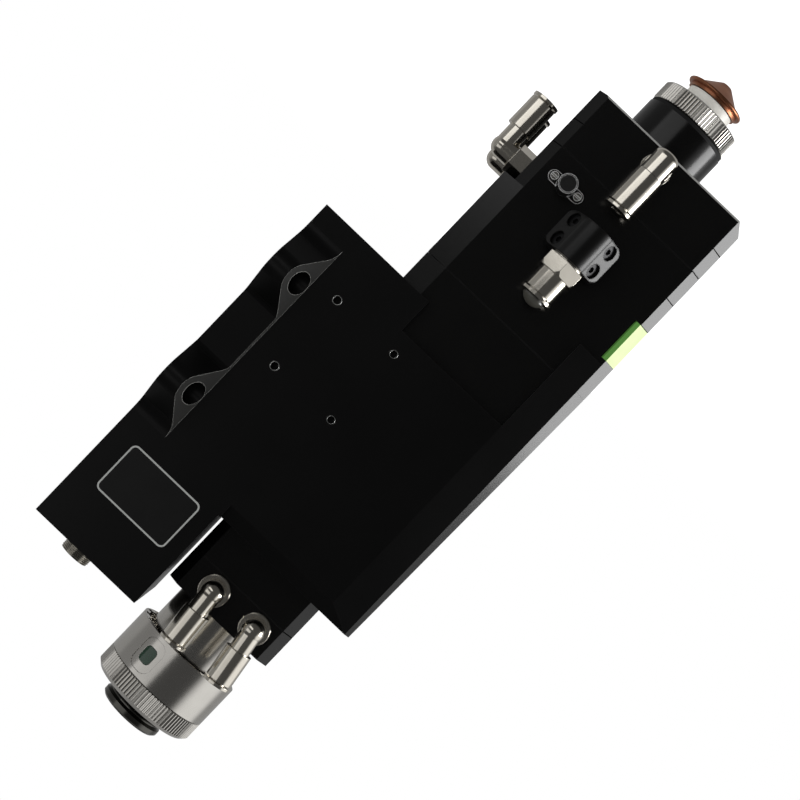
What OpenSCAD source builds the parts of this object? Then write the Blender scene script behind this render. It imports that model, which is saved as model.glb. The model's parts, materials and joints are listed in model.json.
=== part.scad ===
// Autofocus laser cutting head: fibre connector on top, nozzle below, focus drive at its side.
// Shapes are drawn about the beam axis (X right, front at -Y, Z up) and then moved so that the
// centre of the mounting hole pattern on the front plate is the origin.

/* [Column] */
// Beam axis to the column's front face
column_front = 40; // [36:0.5:46]
// Beam axis to the column's back face
column_back = 40; // [36:0.5:50]
// Beam axis to the column's right side
column_right = 36.3; // [34:0.1:40]
// Beam axis to the column's left side
column_left = 45; // [43:0.5:50]
// Bevel along the column's upright edges
column_bevel = 4.7; // [3:0.1:6]
// Beam passage through the modules
beam_bore_d = 26; // [20:1:28]
// Height of the nozzle module
nozzle_module_h = 27.6; // [24:0.2:34]
// Height of the protective window module
window_module_h = 67.2; // [62:0.2:80]
// Height of the focus module
focus_module_h = 133.6; // [126:0.2:150]
// Height of the collimator block
collimator_h = 17.8; // [15:0.2:24]
// Height of the connector block
connector_block_h = 15.7; // [14:0.2:20]
// Half width of the collimator and connector blocks
block_half_w = 27; // [26.5:0.5:28]
// Groove along the seams between the modules
seam = 0.35; // [0.2:0.05:0.6]
// Bevel along the front edge of the column's foot
foot_bevel = 0.9; // [0.5:0.1:1.5]
// How far the right shoulder stands out past the column
shoulder_out = 5.2; // [3:0.2:6]
// How far the shoulder's front bevel falls back
shoulder_drop = 4.5; // [3:0.1:8]
// Gap between the side fittings and the shoulder's foot
shoulder_gap = 0.4; // [0.3:0.1:3]
// Slant of the focus module's left side, from foot to top
side_taper = 2.7; // [0:0.1:4]

/* [Drive housing] */
// Thickness of the front plate
plate_t = 4.5; // [3:0.1:6]
// Width of the sloped margin along the plate's left edge
margin_w = 12.4; // [9:0.2:15]
// Length of the sloped edge at the plate's top
top_slope = 6.6; // [4:0.2:9]
// How far the margin's foot reaches below the focus module
margin_foot = 15; // [8:0.5:18]
// Mounting pattern's centre above the focus module's floor
pattern_height = 57.2; // [50:0.2:64]
// Beam axis to the mounting pattern's centre
pattern_x = 38.2; // [36:0.1:40]
// Mounting hole spacing, side to side
pattern_w = 31; // [26:0.5:36]
// Mounting hole spacing, up and down
pattern_h = 36; // [30:0.5:42]
// Tap drill of the mounting holes
pattern_hole_d = 3.3; // [2.5:0.1:4.2]
// Depth of the mounting holes in the plate
pattern_hole_l = 4; // [3:0.5:4.4]
// Beam axis to the drive box's outer side
box_right = 83; // [80:0.5:88]
// Beam axis to the drive box's inner side above the column
box_left = 29; // [28.6:0.2:32]
// Beam axis to the drive box's back
box_back = 20; // [16:0.5:26]
// Drive box's foot below the pattern's centre
box_foot = 42.7; // [41:0.1:46]
// Drive box's top above the pattern's centre
box_top = 124.5; // [118:0.5:132]
// Wall of the drive box
box_wall = 4; // [3:0.5:5]
// Plate's lower edge below the pattern's centre, left of the drive box
plate_foot = 27; // [22:0.5:32]
// Thickness of the side cover
cover_t = 3; // [2:0.5:3.5]
// Margin between the side cover and the box's edges
cover_margin = 4; // [3:0.5:6]

/* [Lifting lugs] */
// Bore of each lug
lug_bore_d = 10.5; // [8:0.1:11]
// Distance between the two lugs
lug_spacing = 60; // [50:0.5:66]
// Middle of the two lugs above the pattern's centre
lug_middle = 17.6; // [10:0.2:25]
// Height of a lug above the plate
lug_h = 14; // [13:0.5:18]
// Half length of a lug's foot
lug_half_l = 17; // [15:0.5:20]
// Thickness of a lug at its foot
lug_foot_t = 17.5; // [14:0.5:20]
// Thickness of a lug at its top
lug_top_t = 9; // [7:0.5:12]
// Height of the ridge between the two lugs
lug_ridge = 1.2; // [0.6:0.1:2]
// Radius that blends a lug into the plate
lug_fillet = 9; // [4:0.5:12]

/* [Nozzle end] */
// Diameter of the sensor body
sensor_d = 39; // [37:0.5:42]
// Length of the sensor body below the column
sensor_l = 18.5; // [15:0.5:22]
// Fillet where the sensor body meets the column
sensor_fillet = 3; // [1:0.2:4]
// Diameter of the nozzle lock ring
lock_ring_d = 39; // [38:0.5:42]
// Height of the nozzle lock ring
lock_ring_h = 8.7; // [8:0.1:11]
// Grip teeth round the nozzle lock ring
lock_ring_teeth = 80; // [50:2:100]
// Height of the seal above the lock ring
sensor_seal_h = 1.6; // [1:0.1:2]
// Neck of the ceramic body
ceramic_d = 22.6; // [20:0.2:25]
// Neck length of the ceramic below the lock ring
ceramic_neck_l = 5.4; // [4:0.1:8]
// Flange of the nozzle
nozzle_flange_d = 28; // [26:0.5:31]
// Height of the nozzle's flange
nozzle_flange_h = 3.5; // [2.5:0.1:5]
// Foot of the nozzle's cone
nozzle_cone_d = 23; // [18:0.5:24]
// Height of the nozzle's cone
nozzle_cone_h = 6.7; // [5:0.1:10]
// Diameter of the nozzle's tip
nozzle_tip_d = 5; // [4:0.1:6]
// Orifice of the nozzle
nozzle_orifice_d = 1.5; // [0.8:0.1:2.5]
// Thread of the nozzle's stem
nozzle_stem_d = 10.8; // [9:0.1:12]

/* [Window drawers] */
// Height of a drawer's face
drawer_face_h = 14.9; // [14:0.1:16]
// Width of a drawer's tray
tray_w = 46; // [42:0.5:50]
// Height of a drawer's tray
tray_h = 10; // [8:0.5:10.5]
// Tray's length past the beam axis
tray_nose = 20; // [19:0.5:23]
// Diameter of a protective window
window_d = 30; // [28:0.5:32]
// Thickness of a protective window
window_t = 5; // [3:0.5:5.5]
// Sliding clearance of a drawer
drawer_clearance = 0.3; // [0.2:0.05:0.4]
// Height of the status light
light_h = 20; // [16:0.5:24]
// Width of the status light on the front face
light_front_w = 1.9; // [1:0.1:4]

/* [Tube fittings] */
// Outside diameter of the tubes
tube_d = 6; // [4:0.5:7]
// Diameter of an elbow's sleeve
sleeve_d = 11.6; // [11:0.2:12.4]
// Neck of an elbow between its bend and its sleeve
elbow_neck_d = 9; // [8:0.2:10]
// Stem axis to the start of the sleeve
elbow_neck_l = 9.5; // [8:0.5:12]
// Stem axis to the sleeve's mouth
elbow_reach = 23.8; // [22:0.2:27]
// Thickness of a release ring
release_ring_t = 1.3; // [1:0.1:2]
// Travel of a release ring
release_travel = 0.6; // [0.4:0.1:1]
// Swivel post of an elbow
swivel_d = 5.6; // [5:0.1:6.2]
// Thread of a fitting's stem
stem_thread_d = 9; // [8:0.5:10]
// Length of a stem's thread
stem_thread_l = 6; // [4:0.5:7]
// Width across flats of the side fittings
side_hex_af = 12; // [11:0.5:14]
// Height of the side fittings' hexagon
side_hex_h = 7; // [5:0.5:9]
// Distance of the front side fitting from the beam axis
side_fitting_front = 28; // [24:0.5:29]
// Distance between the two side fittings
side_fitting_spacing = 38; // [34:0.5:48]
// Side fittings above the window module's floor
side_fitting_height = 14.9; // [12:0.1:15]
// Round foot of the front fittings
foot_d = 13; // [12:0.5:15]
// Height of the front fittings' foot
foot_h = 2.4; // [1.5:0.1:4]
// Distance between the connector's water fittings
connector_fitting_spacing = 22.5; // [20:0.5:24]
// Connector's water fittings above the connector block's floor
connector_fitting_height = 7.2; // [6.6:0.1:8]
// Lean of the right water elbow at rest, towards the left
right_lean = 5; // [0:0.5:10]
// Lean of the left water elbow at rest, towards the left
left_lean = 8.5; // [0:0.5:10]
// Cooling gas fitting above the column's foot
cooling_fitting_height = 9; // [8:0.5:14]
// Body of the cooling gas elbow
cooling_neck_d = 11; // [10:0.2:11.4]
// Sleeve of the cooling gas elbow
cooling_sleeve_d = 12.2; // [11.8:0.2:12.6]
// Cooling gas elbow's body past its stem axis
cooling_head_l = 7.4; // [6.6:0.2:7.8]
// Stem axis to the start of the cooling gas sleeve
cooling_neck_l = 4.4; // [3:0.2:8]
// Stem axis to the mouth of the cooling gas sleeve
cooling_reach = 21.4; // [19:0.2:25]

/* [Cutting gas inlet] */
// Beam axis to the gas fittings' line, to the left
gas_line_x = 1.8; // [0:0.1:4]
// Width of the inlet block
gas_block_w = 27; // [24:0.5:30]
// Length of the inlet block
gas_block_l = 17.4; // [16:0.2:22]
// Height of the inlet block above the column
gas_block_h = 22; // [20:0.5:26]
// Radius along the inlet block's ridge
gas_block_r = 8; // [6:0.5:9]
// Slope of the inlet block's flanks
gas_block_slope = 50; // [42:1:58]
// Corner radius of the block seen from the front
gas_corner_r = 3.4; // [1:0.2:4]
// Inlet block's foot above the window module's floor
gas_block_foot = 15.8; // [10:0.2:24]
// Wall between a flank's screw hole and the block's end
gas_screw_edge = 0.8; // [0.6:0.1:1.2]
// Head of an inlet block screw
gas_screw_head_d = 6.2; // [5:0.1:6.4]
// Inlet fitting's axis above the column
gas_axis_h = 11; // [10:0.2:13]
// Width across flats of the inlet fitting
gas_hex_af = 16; // [14:0.5:17]
// Height of the inlet fitting's hexagon
gas_hex_h = 6.5; // [5:0.5:9]
// Sleeve of the inlet fitting
gas_sleeve_d = 13.5; // [12.5:0.1:15]
// Length of the inlet fitting's sleeve
gas_sleeve_l = 9.5; // [8:0.5:14]
// Tube of the inlet fitting
gas_tube_d = 8; // [6:0.5:9]

/* [Sockets] */
// Barrel of the sensor socket
sensor_socket_d = 8; // [7:0.2:10]
// Length of the sensor socket's barrel
sensor_socket_l = 13; // [8:0.5:16]
// Beam axis to the sensor socket
sensor_socket_x = 19.4; // [18:0.2:24]
// Sensor socket above the window module's floor
sensor_socket_height = 10.8; // [8:0.2:12]
// Gap between the sensor socket's barrel and its screw heads
sensor_screw_gap = 0.5; // [0.3:0.1:2]
// Diameter of the drive's socket
drive_socket_d = 15; // [12:0.2:16]
// Height of the drive's socket above the box
drive_socket_h = 8.5; // [6:0.5:12]
// Beam axis to the drive's socket
drive_socket_x = 61.6; // [56:0.2:66]

/* [Fibre connector] */
// Neck of the connector
fibre_neck_d = 40; // [38:0.5:42]
// Length of the neck below the collar
fibre_neck_l = 20.5; // [19:0.5:26]
// Collar of the connector
fibre_collar_d = 50; // [48:0.5:52]
// Height of the collar
fibre_collar_h = 19; // [16:0.5:24]
// Notches round the collar's lower rim
fibre_notches = 18; // [12:1:24]
// Depth of the notches
fibre_notch_h = 4; // [3:0.2:5]
// Height of the knurled lock ring
fibre_ring_h = 9.6; // [8:0.1:11]
// Teeth of the knurled lock ring
fibre_ring_teeth = 100; // [60:2:120]
// Waist of the connector's nose
fibre_waist_d = 26; // [25:0.5:28]
// Rim of the connector's nose
fibre_nose_d = 29; // [28.5:0.5:31]
// Height of the connector's nose
fibre_nose_h = 7.5; // [7:0.5:14]
// Bore for the fibre plug
fibre_bore_d = 22; // [20:0.1:23]

/* [Focus drive] */
// Outside of the lens carriage
carriage_d = 44; // [40:0.5:48]
// Length of the lens carriage
carriage_l = 32; // [28:0.5:40]
// Middle of the lens carriage above the pattern's centre
carriage_middle = 8; // [4:0.5:10]
// Focus travel each way from the middle
focus_travel = 10; // [5:0.5:12]
// Diameter of the focus lens
focus_lens_d = 37; // [34:0.5:38]
// Beam axis to the lead screw
screw_x = 62; // [60:0.5:64]
// Lead screw behind the beam axis (negative is in front)
screw_y = -10; // [-12:0.5:-8]
// Diameter of the lead screw
screw_d = 8; // [6:0.5:9]
// Distance between the guide rods
rod_spacing = 26; // [24:0.5:28]
// Diameter of the guide rods
rod_d = 6; // [5:0.5:7]
// Side of the motor
motor_w = 28; // [26:0.5:30]
// Length of the motor
motor_l = 40; // [30:1:48]
// Room for wiring above the motor
wiring_room = 21.5; // [16:0.5:24]
// Diameter of the collimator lens
collimator_lens_d = 30; // [28:0.5:32]

/* [Hidden] */
$fn = 64;
eps = 0.01;
// Radial play of screwed-in and pushed-in pieces
seat_play = 0.1;
// Radial play of turning and sliding pieces
run_play = 0.05;
// End play between pieces that turn past each other
turn_gap = 0.3;
// End play left behind a pressed release ring
press_gap = 0.1;

// Levels of the stacked modules, from the mounting pattern's centre
z_focus = -pattern_height;
z_window = z_focus - window_module_h;
z_foot = z_window - nozzle_module_h;
z_collimator = z_focus + focus_module_h;
z_connector = z_collimator + collimator_h;
z_head = z_connector + connector_block_h;
z_shoulder = z_window + side_fitting_height + side_hex_af / cos(30) / 2 + shoulder_gap;

// Front plane, box and lug places
plate_front = column_front + plate_t;
shoulder_right = column_right + shoulder_out;
fold_x = -(column_left - column_bevel) + margin_w;
z_margin = z_focus - margin_foot;
cover_left = box_right - cover_t;
cavity_left = shoulder_right + box_wall;
cover_front = cover_margin - plate_front;
cover_back = box_back - cover_margin;
cover_foot = cover_margin - box_foot;
cover_top = box_top - cover_margin;
cover_ledge = 3;
cavity_front = cover_front + cover_ledge;
cavity_back = cover_back - cover_ledge;
cavity_top = cover_top - cover_ledge;
z_floor = cover_foot + cover_ledge;
step_x = box_left - 2;
margin_edge = 0.4;
lug_wall = 3.25;
lug_lip = 0.12;
lug_top_r = lug_bore_d / 2 + lug_wall;
lug_bore_h = lug_h - lug_top_r;

// Nozzle end levels
spigot_step = 3;
spigot_d = sensor_d - 2 * spigot_step;
spigot_l = 4;
z_sensor = z_foot - sensor_l;
z_ring_top = z_sensor - sensor_seal_h - turn_gap;
z_ring = z_ring_top - lock_ring_h;
z_ceramic = z_ring - ceramic_neck_l;
z_flange = z_ceramic - nozzle_flange_h;
z_tip = z_flange - nozzle_cone_h;
ceramic_flange_d = spigot_d - 1;
ceramic_flange_h = 4;
z_ceramic_flange = z_sensor - spigot_l - ceramic_flange_h;
nozzle_stem_l = 8;
ceramic_bore_d = nozzle_stem_d + 2 * run_play;

// Drawer places
face_t = column_bevel;
face_x = -column_left;
tray_x = face_x + face_t;
drawer_z = [for (i = [0, 1]) z_window + drawer_face_h * (i + 0.5)];
z_light = z_window + 2 * drawer_face_h;
window_seat_d = window_d - 4;
window_ring_h = 2;
window_foot_t = tray_h - window_t - window_ring_h;
drawer_seal_t = 2;
drawer_seal_h = 1.4;

// Fitting sizes
flow_d = 3.6;
elbow_swell = 0.8;
release_ring_rim = 0.3;
tube_bore_d = tube_d + 0.2;
gas_bore_d = gas_tube_d + 0.2;
collet_l = 7;
collet_wall = 0.8;
gas_x = -gas_line_x;
z_gas = z_window + gas_block_foot;
gas_washer_t = 0.8;
gas_axis_y = -(column_front + gas_axis_h);
z_side_fitting = z_window + side_fitting_height;
z_cooling = z_foot + cooling_fitting_height;
z_connector_fitting = z_connector + connector_fitting_height;
connector_x = [for (side = [1, -1]) gas_x + side * connector_fitting_spacing / 2];
connector_lean = [right_lean, left_lean];

// Fibre connector levels
fibre_tube_wall = 4;
fibre_tube_d = fibre_waist_d + 2 * fibre_tube_wall;
z_collar = z_head + fibre_neck_l;
z_fibre_ring = z_collar + fibre_collar_h + turn_gap;
z_nose = z_fibre_ring + fibre_ring_h + turn_gap;
z_top = z_nose + fibre_nose_h;

// Focus drive levels
carriage_bore_d = carriage_d + 2 * run_play;
z_carriage = carriage_middle - carriage_l / 2;
arm_h = 12;
arm_w = 12;
z_arm = carriage_middle - arm_h / 2;
arm_play = 1;
bracket_t = 6;
z_bracket = cavity_top - wiring_room - motor_l - bracket_t;
lens_seat_d = focus_lens_d - 4;
lens_t = 6;
ring_t = 3;

// Moves a shape drawn about the beam axis into the head's own frame
module head() { translate([-pattern_x, plate_front, 0]) children(); }
module at_z(z) { translate([0, 0, z]) children(); }
module drill(d, z0, z1) { at_z(z0 - eps) cylinder(d = d, h = z1 - z0 + 2 * eps); }
module ring(outer, inner, h) {
    difference() {
        cylinder(d = outer, h = h);
        drill(inner, 0, h);
    }
}
// Places a fitting on the front face, with its sleeve up and turned towards the left
module on_front(x, z, face, turn = 0) {
    translate([x, -face, z]) rotate([90, 0, 0]) rotate([0, 0, 90 + turn]) children();
}
// Places a fitting on the right side, with its sleeve down
module on_right(y, z, face) { translate([face, y, z]) rotate([0, 90, 0]) children(); }
module hexagon(af, h) { cylinder(d = af / cos(30), h = h, $fn = 6); }
// Ring with straight, blunt grip teeth and bevelled ends
module toothed_ring(d, h, teeth, depth, bevel, top_bevel) {
    blunt = 0.12;
    intersection() {
        linear_extrude(h) polygon([
            for (i = [0 : 2 * teeth - 1])
                let (r = i % 2 == 0 ? d / 2 + blunt : d / 2 - depth, a = 180 * i / teeth)
                [r * cos(a), r * sin(a)]
        ]);
        rotate_extrude() polygon([
            [0, 0], [d / 2 - bevel, 0], [d / 2, bevel],
            [d / 2, h - top_bevel], [d / 2 - top_bevel, h], [0, h]
        ]);
    }
}
// Plan with bevelled corners, drawn in from its sides where a seam's groove runs
module bevelled_plan(left, right, front, back, inset) {
    c = column_bevel;
    polygon([
        [left + c, front + inset], [right - c, front + inset], [right - inset, front + c],
        [right - inset, back - c], [right - c, back - inset], [left + c, back - inset],
        [left + inset, back - c], [left + inset, front + c]
    ]);
}
module column_plan(inset = 0) {
    bevelled_plan(-column_left, column_right, -column_front, column_back, inset);
}
// Plan of the shoulder that widens the column on its right
module shoulder_plan() {
    polygon([
        [0, -column_front], [column_right - column_bevel, -column_front],
        [shoulder_right, shoulder_drop - column_front], [shoulder_right, column_back - column_bevel],
        [shoulder_right - column_bevel, column_back], [0, column_back]
    ]);
}
module block_plan(inset = 0) {
    bevelled_plan(-block_half_w, block_half_w, -block_half_w, block_half_w, inset);
}

// Fitting with a swivelling elbow: stem, elbow and release ring, seat at z = 0, sleeve along +X
function elbow_axis(base_h, neck) = base_h + turn_gap + neck / 2 + 1;
module fitting_stem(base_h, neck) {
    difference() {
        union() {
            at_z(-stem_thread_l) cylinder(d = stem_thread_d, h = stem_thread_l + eps);
            children();
            cylinder(d = swivel_d, h = elbow_axis(base_h, neck));
        }
        drill(flow_d, -stem_thread_l, elbow_axis(base_h, neck));
    }
}
module sleeve_hollow(mouth, bore, clearance) {
    at_z(mouth - collet_l - release_travel)
        cylinder(d = bore + 2 * collet_wall + 2 * clearance, h = collet_l + release_travel + eps);
}
// Elbow with its head as the child, drawn about the sleeve's axis
module fitting_elbow(base_h, neck, sleeve, start, reach) {
    axis_h = elbow_axis(base_h, neck);
    difference() {
        union() {
            at_z(base_h + turn_gap) cylinder(d = neck + elbow_swell, h = axis_h - base_h - turn_gap);
            at_z(axis_h) rotate([0, 90, 0]) {
                children();
                cylinder(d = neck, h = start + eps);
                at_z(start) cylinder(d = sleeve, h = reach - start);
            }
        }
        drill(swivel_d + 2 * run_play, base_h, axis_h + 1);
        at_z(axis_h) rotate([0, 90, 0]) {
            cylinder(d = flow_d, h = reach);
            sleeve_hollow(reach, tube_bore_d, run_play);
        }
    }
}
module ball_head() { sphere(d = elbow_neck_d + elbow_swell); }
// Straight head with a rounded end
module long_head() {
    end_r = cooling_neck_d / 4;
    at_z(-cooling_head_l) cylinder(d = cooling_neck_d - 2 * end_r, h = cooling_head_l);
    at_z(end_r - cooling_head_l) cylinder(d = cooling_neck_d, h = cooling_head_l - end_r + eps);
    at_z(end_r - cooling_head_l)
        rotate_extrude() translate([cooling_neck_d / 2 - end_r, 0]) circle(r = end_r);
}
module release_ring(mouth, ring_d, bore) {
    difference() {
        union() {
            at_z(mouth - collet_l + press_gap)
                cylinder(d = bore + 2 * collet_wall, h = collet_l + release_travel + eps);
            at_z(mouth + release_travel + press_gap) cylinder(d = ring_d, h = release_ring_t);
        }
        drill(bore, mouth - collet_l, mouth + release_travel + press_gap + release_ring_t);
    }
}
module fitting_collet(base_h, neck, sleeve, reach) {
    at_z(elbow_axis(base_h, neck)) rotate([0, 90, 0])
        release_ring(reach, sleeve + 2 * release_ring_rim, tube_bore_d);
}
module common_stem(base_h) { fitting_stem(base_h, elbow_neck_d) children(); }
module common_elbow(base_h) {
    fitting_elbow(base_h, elbow_neck_d, sleeve_d, elbow_neck_l, elbow_reach) ball_head();
}
module common_collet(base_h) { fitting_collet(base_h, elbow_neck_d, sleeve_d, elbow_reach); }
module stem_seat() { drill(stem_thread_d + 2 * seat_play, -stem_thread_l - 2 * seat_play, 0); }

// Nozzle end
module nozzle_module() color("#17181a") head() {
    difference() {
        union() {
            at_z(z_foot) linear_extrude(nozzle_module_h - seam) column_plan();
            at_z(z_window - seam - eps) linear_extrude(seam + eps) column_plan(seam);
        }
        drill(beam_bore_d, z_foot, z_window);
        // Bevel along the foot's front edge
        translate([0, -column_front, z_foot]) rotate([90, 0, 90])
            linear_extrude(4 * column_left, center = true)
                polygon([[-eps, -eps], [foot_bevel, -eps], [-eps, foot_bevel]]);
        on_front(gas_x, z_cooling, column_front) stem_seat();
        // Cut at the foot of the left front edge
        translate([-column_left, 0, z_foot]) rotate([90, 0, 0])
            linear_extrude(3 * column_front, center = true)
                polygon([[-eps, -eps], [column_bevel, -eps], [-eps, column_bevel]]);
    }
}
module sensor_body() color("#1b1c1e") head() {
    difference() {
        union() {
            at_z(z_sensor) cylinder(d = sensor_d, h = sensor_l);
            at_z(z_sensor - spigot_l) cylinder(d = spigot_d, h = spigot_l + eps);
            at_z(z_foot - sensor_fillet) rotate_extrude() translate([sensor_d / 2 - eps, 0]) difference() {
                square(sensor_fillet);
                translate([sensor_fillet, 0]) circle(r = sensor_fillet);
            }
        }
        drill(beam_bore_d - 4, z_sensor - spigot_l, z_foot);
    }
}
module sensor_seal() color("#0c0c0d") head()
    at_z(z_sensor - sensor_seal_h) ring(sensor_d - 0.6, spigot_d + 2 * seat_play, sensor_seal_h);
module nozzle_lock_ring() color("#c9c7c2") head() {
    difference() {
        at_z(z_ring) toothed_ring(lock_ring_d, lock_ring_h, lock_ring_teeth, 0.4, 0.8, 0.6);
        drill(ceramic_d + 2 * turn_gap, z_ring, z_ring_top);
        drill(spigot_d + 4 * run_play, z_ceramic_flange - turn_gap, z_ring_top);
    }
}
module ceramic_body() color("#f0efe9") head() {
    difference() {
        union() {
            at_z(z_ceramic_flange) cylinder(d = ceramic_flange_d, h = ceramic_flange_h);
            at_z(z_ceramic) cylinder(d = ceramic_d, h = z_ceramic_flange - z_ceramic + eps);
        }
        drill(ceramic_bore_d, z_ceramic, z_ceramic_flange + ceramic_flange_h);
    }
}
module nozzle() color("#b06a45") head() {
    rim_r = nozzle_flange_h / 4;
    rim_d = nozzle_flange_d - 2 * rim_r;
    collar_h = nozzle_flange_h - turn_gap - rim_r;
    orifice_h = 2;
    funnel_h = z_ceramic + nozzle_stem_l - z_tip - orifice_h;
    difference() {
        union() {
            at_z(z_ceramic - turn_gap) cylinder(d = nozzle_stem_d, h = nozzle_stem_l);
            at_z(z_flange) cylinder(d = rim_d, h = 2 * rim_r);
            at_z(z_flange + rim_r) rotate_extrude() translate([rim_d / 2, 0]) circle(r = rim_r);
            at_z(z_flange + rim_r) cylinder(d = rim_d - 2 * rim_r, h = collar_h);
            at_z(z_tip) cylinder(d1 = nozzle_tip_d, d2 = nozzle_cone_d, h = nozzle_cone_h + eps);
        }
        drill(nozzle_orifice_d, z_tip, z_ceramic);
        at_z(z_tip + orifice_h)
            cylinder(d1 = nozzle_orifice_d, d2 = nozzle_stem_d - 4, h = funnel_h);
    }
}

// Protective window module and its two drawers
module light_plan(grow) {
    polygon([
        [column_bevel - column_left + light_front_w + grow, -column_front - eps],
        [column_bevel - column_left, -column_front - eps], [-column_left - eps, column_bevel - column_front],
        [-column_left - eps, 2 * column_bevel - column_front],
        [column_bevel - column_left + light_front_w + grow, 2 * column_bevel - column_front]
    ]);
}
module window_module() color("#17181a") head() {
    slot_w = tray_w + 2 * drawer_clearance;
    slot_h = tray_h + 2 * drawer_clearance;
    slot_l = tray_nose - tray_x + drawer_clearance;
    difference() {
        union() {
            at_z(z_window) linear_extrude(window_module_h - seam) column_plan();
            at_z(z_focus - seam - eps) linear_extrude(seam + eps) column_plan(seam);
            at_z(z_shoulder) linear_extrude(z_focus - seam - z_shoulder) shoulder_plan();
        }
        drill(beam_bore_d, z_window, z_focus);
        for (z = drawer_z) {
            translate([tray_x - eps, -slot_w / 2, z - slot_h / 2]) cube([slot_l, slot_w, slot_h]);
            at_z(z + slot_h / 2 - eps) ring(window_d + 2 * drawer_seal_t, window_d, drawer_seal_h + eps);
        }
        translate([face_x - 1, -column_front - 1, z_window - 1])
            cube([face_t + 1, column_front + column_back + 2, 2 * drawer_face_h + 1]);
        at_z(z_light) linear_extrude(light_h) light_plan(1.1);
        on_front(gas_x, z_gas + gas_block_l / 2, column_front) drill(flow_d, -column_front, 0);
        for (i = [0, 1]) side_place(i) stem_seat();
        at_socket_screws() drill(socket_screw_d + 2 * seat_play, -socket_screw_l - seat_play, 0);
    }
}
module drawer(i) {
    difference() {
        union() {
            at_z(drawer_z[i] - drawer_face_h / 2 + drawer_clearance / 2) intersection() {
                linear_extrude(drawer_face_h - drawer_clearance) column_plan();
                translate([face_x, -column_front, 0])
                    cube([face_t - drawer_clearance, column_front + column_back, drawer_face_h]);
            }
            translate([tray_x - drawer_clearance - eps, -tray_w / 2, drawer_z[i] - tray_h / 2])
                cube([tray_nose - tray_x + drawer_clearance, tray_w, tray_h]);
        }
        drill(window_seat_d, drawer_z[i] - tray_h / 2, drawer_z[i] + tray_h / 2);
        drill(
            window_d + 2 * seat_play,
            drawer_z[i] - tray_h / 2 + window_foot_t,
            drawer_z[i] + tray_h / 2
        );
    }
}
module protective_window(i) {
    at_z(drawer_z[i] - tray_h / 2 + window_foot_t) cylinder(d = window_d, h = window_t);
}
module window_ring(i) {
    at_z(drawer_z[i] + tray_h / 2 - window_ring_h) ring(window_d, window_seat_d, window_ring_h);
}
module drawer_seal(i) {
    at_z(drawer_z[i] + tray_h / 2 + drawer_clearance)
        ring(window_d + 2 * drawer_seal_t - seat_play, window_d + seat_play, drawer_seal_h);
}
module lower_drawer() { color("#1a1b1d") head() drawer(0); }
module upper_drawer() { color("#1a1b1d") head() drawer(1); }
module lower_window() { color("#cfe3e6") head() protective_window(0); }
module upper_window() { color("#cfe3e6") head() protective_window(1); }
module lower_window_ring() { color("#b9bbbd") head() window_ring(0); }
module upper_window_ring() { color("#b9bbbd") head() window_ring(1); }
module lower_drawer_seal() { color("#c96f2b") head() drawer_seal(0); }
module upper_drawer_seal() { color("#c96f2b") head() drawer_seal(1); }
module status_light() color("#7ddc5a") head()
    at_z(z_light + seat_play) linear_extrude(light_h - 2 * seat_play) intersection() {
        light_plan(0);
        column_plan();
    }

// Cutting gas inlet: block, flank screws, straight fitting and shipping plug
gas_ridge_r = gas_block_r - 0.1;
gas_ridge_x = gas_ridge_r * sin(gas_block_slope);
gas_ridge_h = gas_block_h - gas_block_r + gas_ridge_r * cos(gas_block_slope);
gas_flank_l = (gas_block_w / 2 - gas_ridge_x) / cos(gas_block_slope);
gas_side_h = gas_ridge_h - gas_flank_l * sin(gas_block_slope);
gas_screw_shank_d = 3;
gas_screw_l = 3.4;
gas_screw_head_h = 2.6;
gas_screw_recess = 1.2;
gas_screw_spacing = gas_block_l - gas_screw_head_d - 2 * gas_screw_edge;
gas_thread_d = 12;
gas_thread_l = 8;
gas_mouth = gas_washer_t + gas_hex_h + gas_sleeve_l;
module at_gas_screws() {
    for (side = [-1, 1], step = [-1, 1])
        translate([
            gas_x + side * (gas_ridge_x + gas_block_w / 2) / 2,
            -column_front - (gas_ridge_h + gas_side_h) / 2,
            z_gas + gas_block_l / 2 + step * gas_screw_spacing / 2
        ]) rotate([0, 0, side * gas_block_slope]) rotate([90, 0, 0]) children();
}
module at_gas_fitting() { translate([gas_x, gas_axis_y, z_gas + gas_block_l]) children(); }
module gas_corner_cuts() {
    corner_in = gas_corner_r - 0.05;
    for (turn = [0:3]) {
        side = turn == 0 || turn == 3 ? 1 : -1;
        end = turn < 2 ? 1 : -1;
        translate([
            gas_x + side * (gas_block_w / 2 - corner_in),
            -column_front,
            z_gas + gas_block_l / 2 + end * (gas_block_l / 2 - corner_in)
        ]) rotate([90, 0, 0]) rotate([0, 0, 90 * turn]) difference() {
            at_z(-1) cube([corner_in + 1, corner_in + 1, gas_block_h + 2]);
            at_z(-2) cylinder(r = gas_corner_r, h = gas_block_h + 4);
        }
    }
}
module gas_block() color("#1a1b1d") head() {
    difference() {
        translate([gas_x, -column_front, z_gas]) {
            translate([0, gas_block_r - gas_block_h, 0]) cylinder(r = gas_block_r, h = gas_block_l);
            linear_extrude(gas_block_l) polygon([
                [-gas_block_w / 2, 0], [gas_block_w / 2, 0], [gas_block_w / 2, -gas_side_h],
                [gas_ridge_x, -gas_ridge_h], [0, gas_block_r - gas_block_h],
                [-gas_ridge_x, -gas_ridge_h], [-gas_block_w / 2, -gas_side_h]
            ]);
        }
        at_gas_screws() {
            drill(gas_screw_head_d + 2 * seat_play, -gas_screw_head_h, gas_block_r);
            drill(gas_screw_shank_d + 2 * seat_play, -gas_screw_l, 0);
        }
        at_gas_fitting() drill(gas_thread_d + 2 * seat_play, -gas_thread_l, 0);
        gas_corner_cuts();
    }
}
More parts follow.
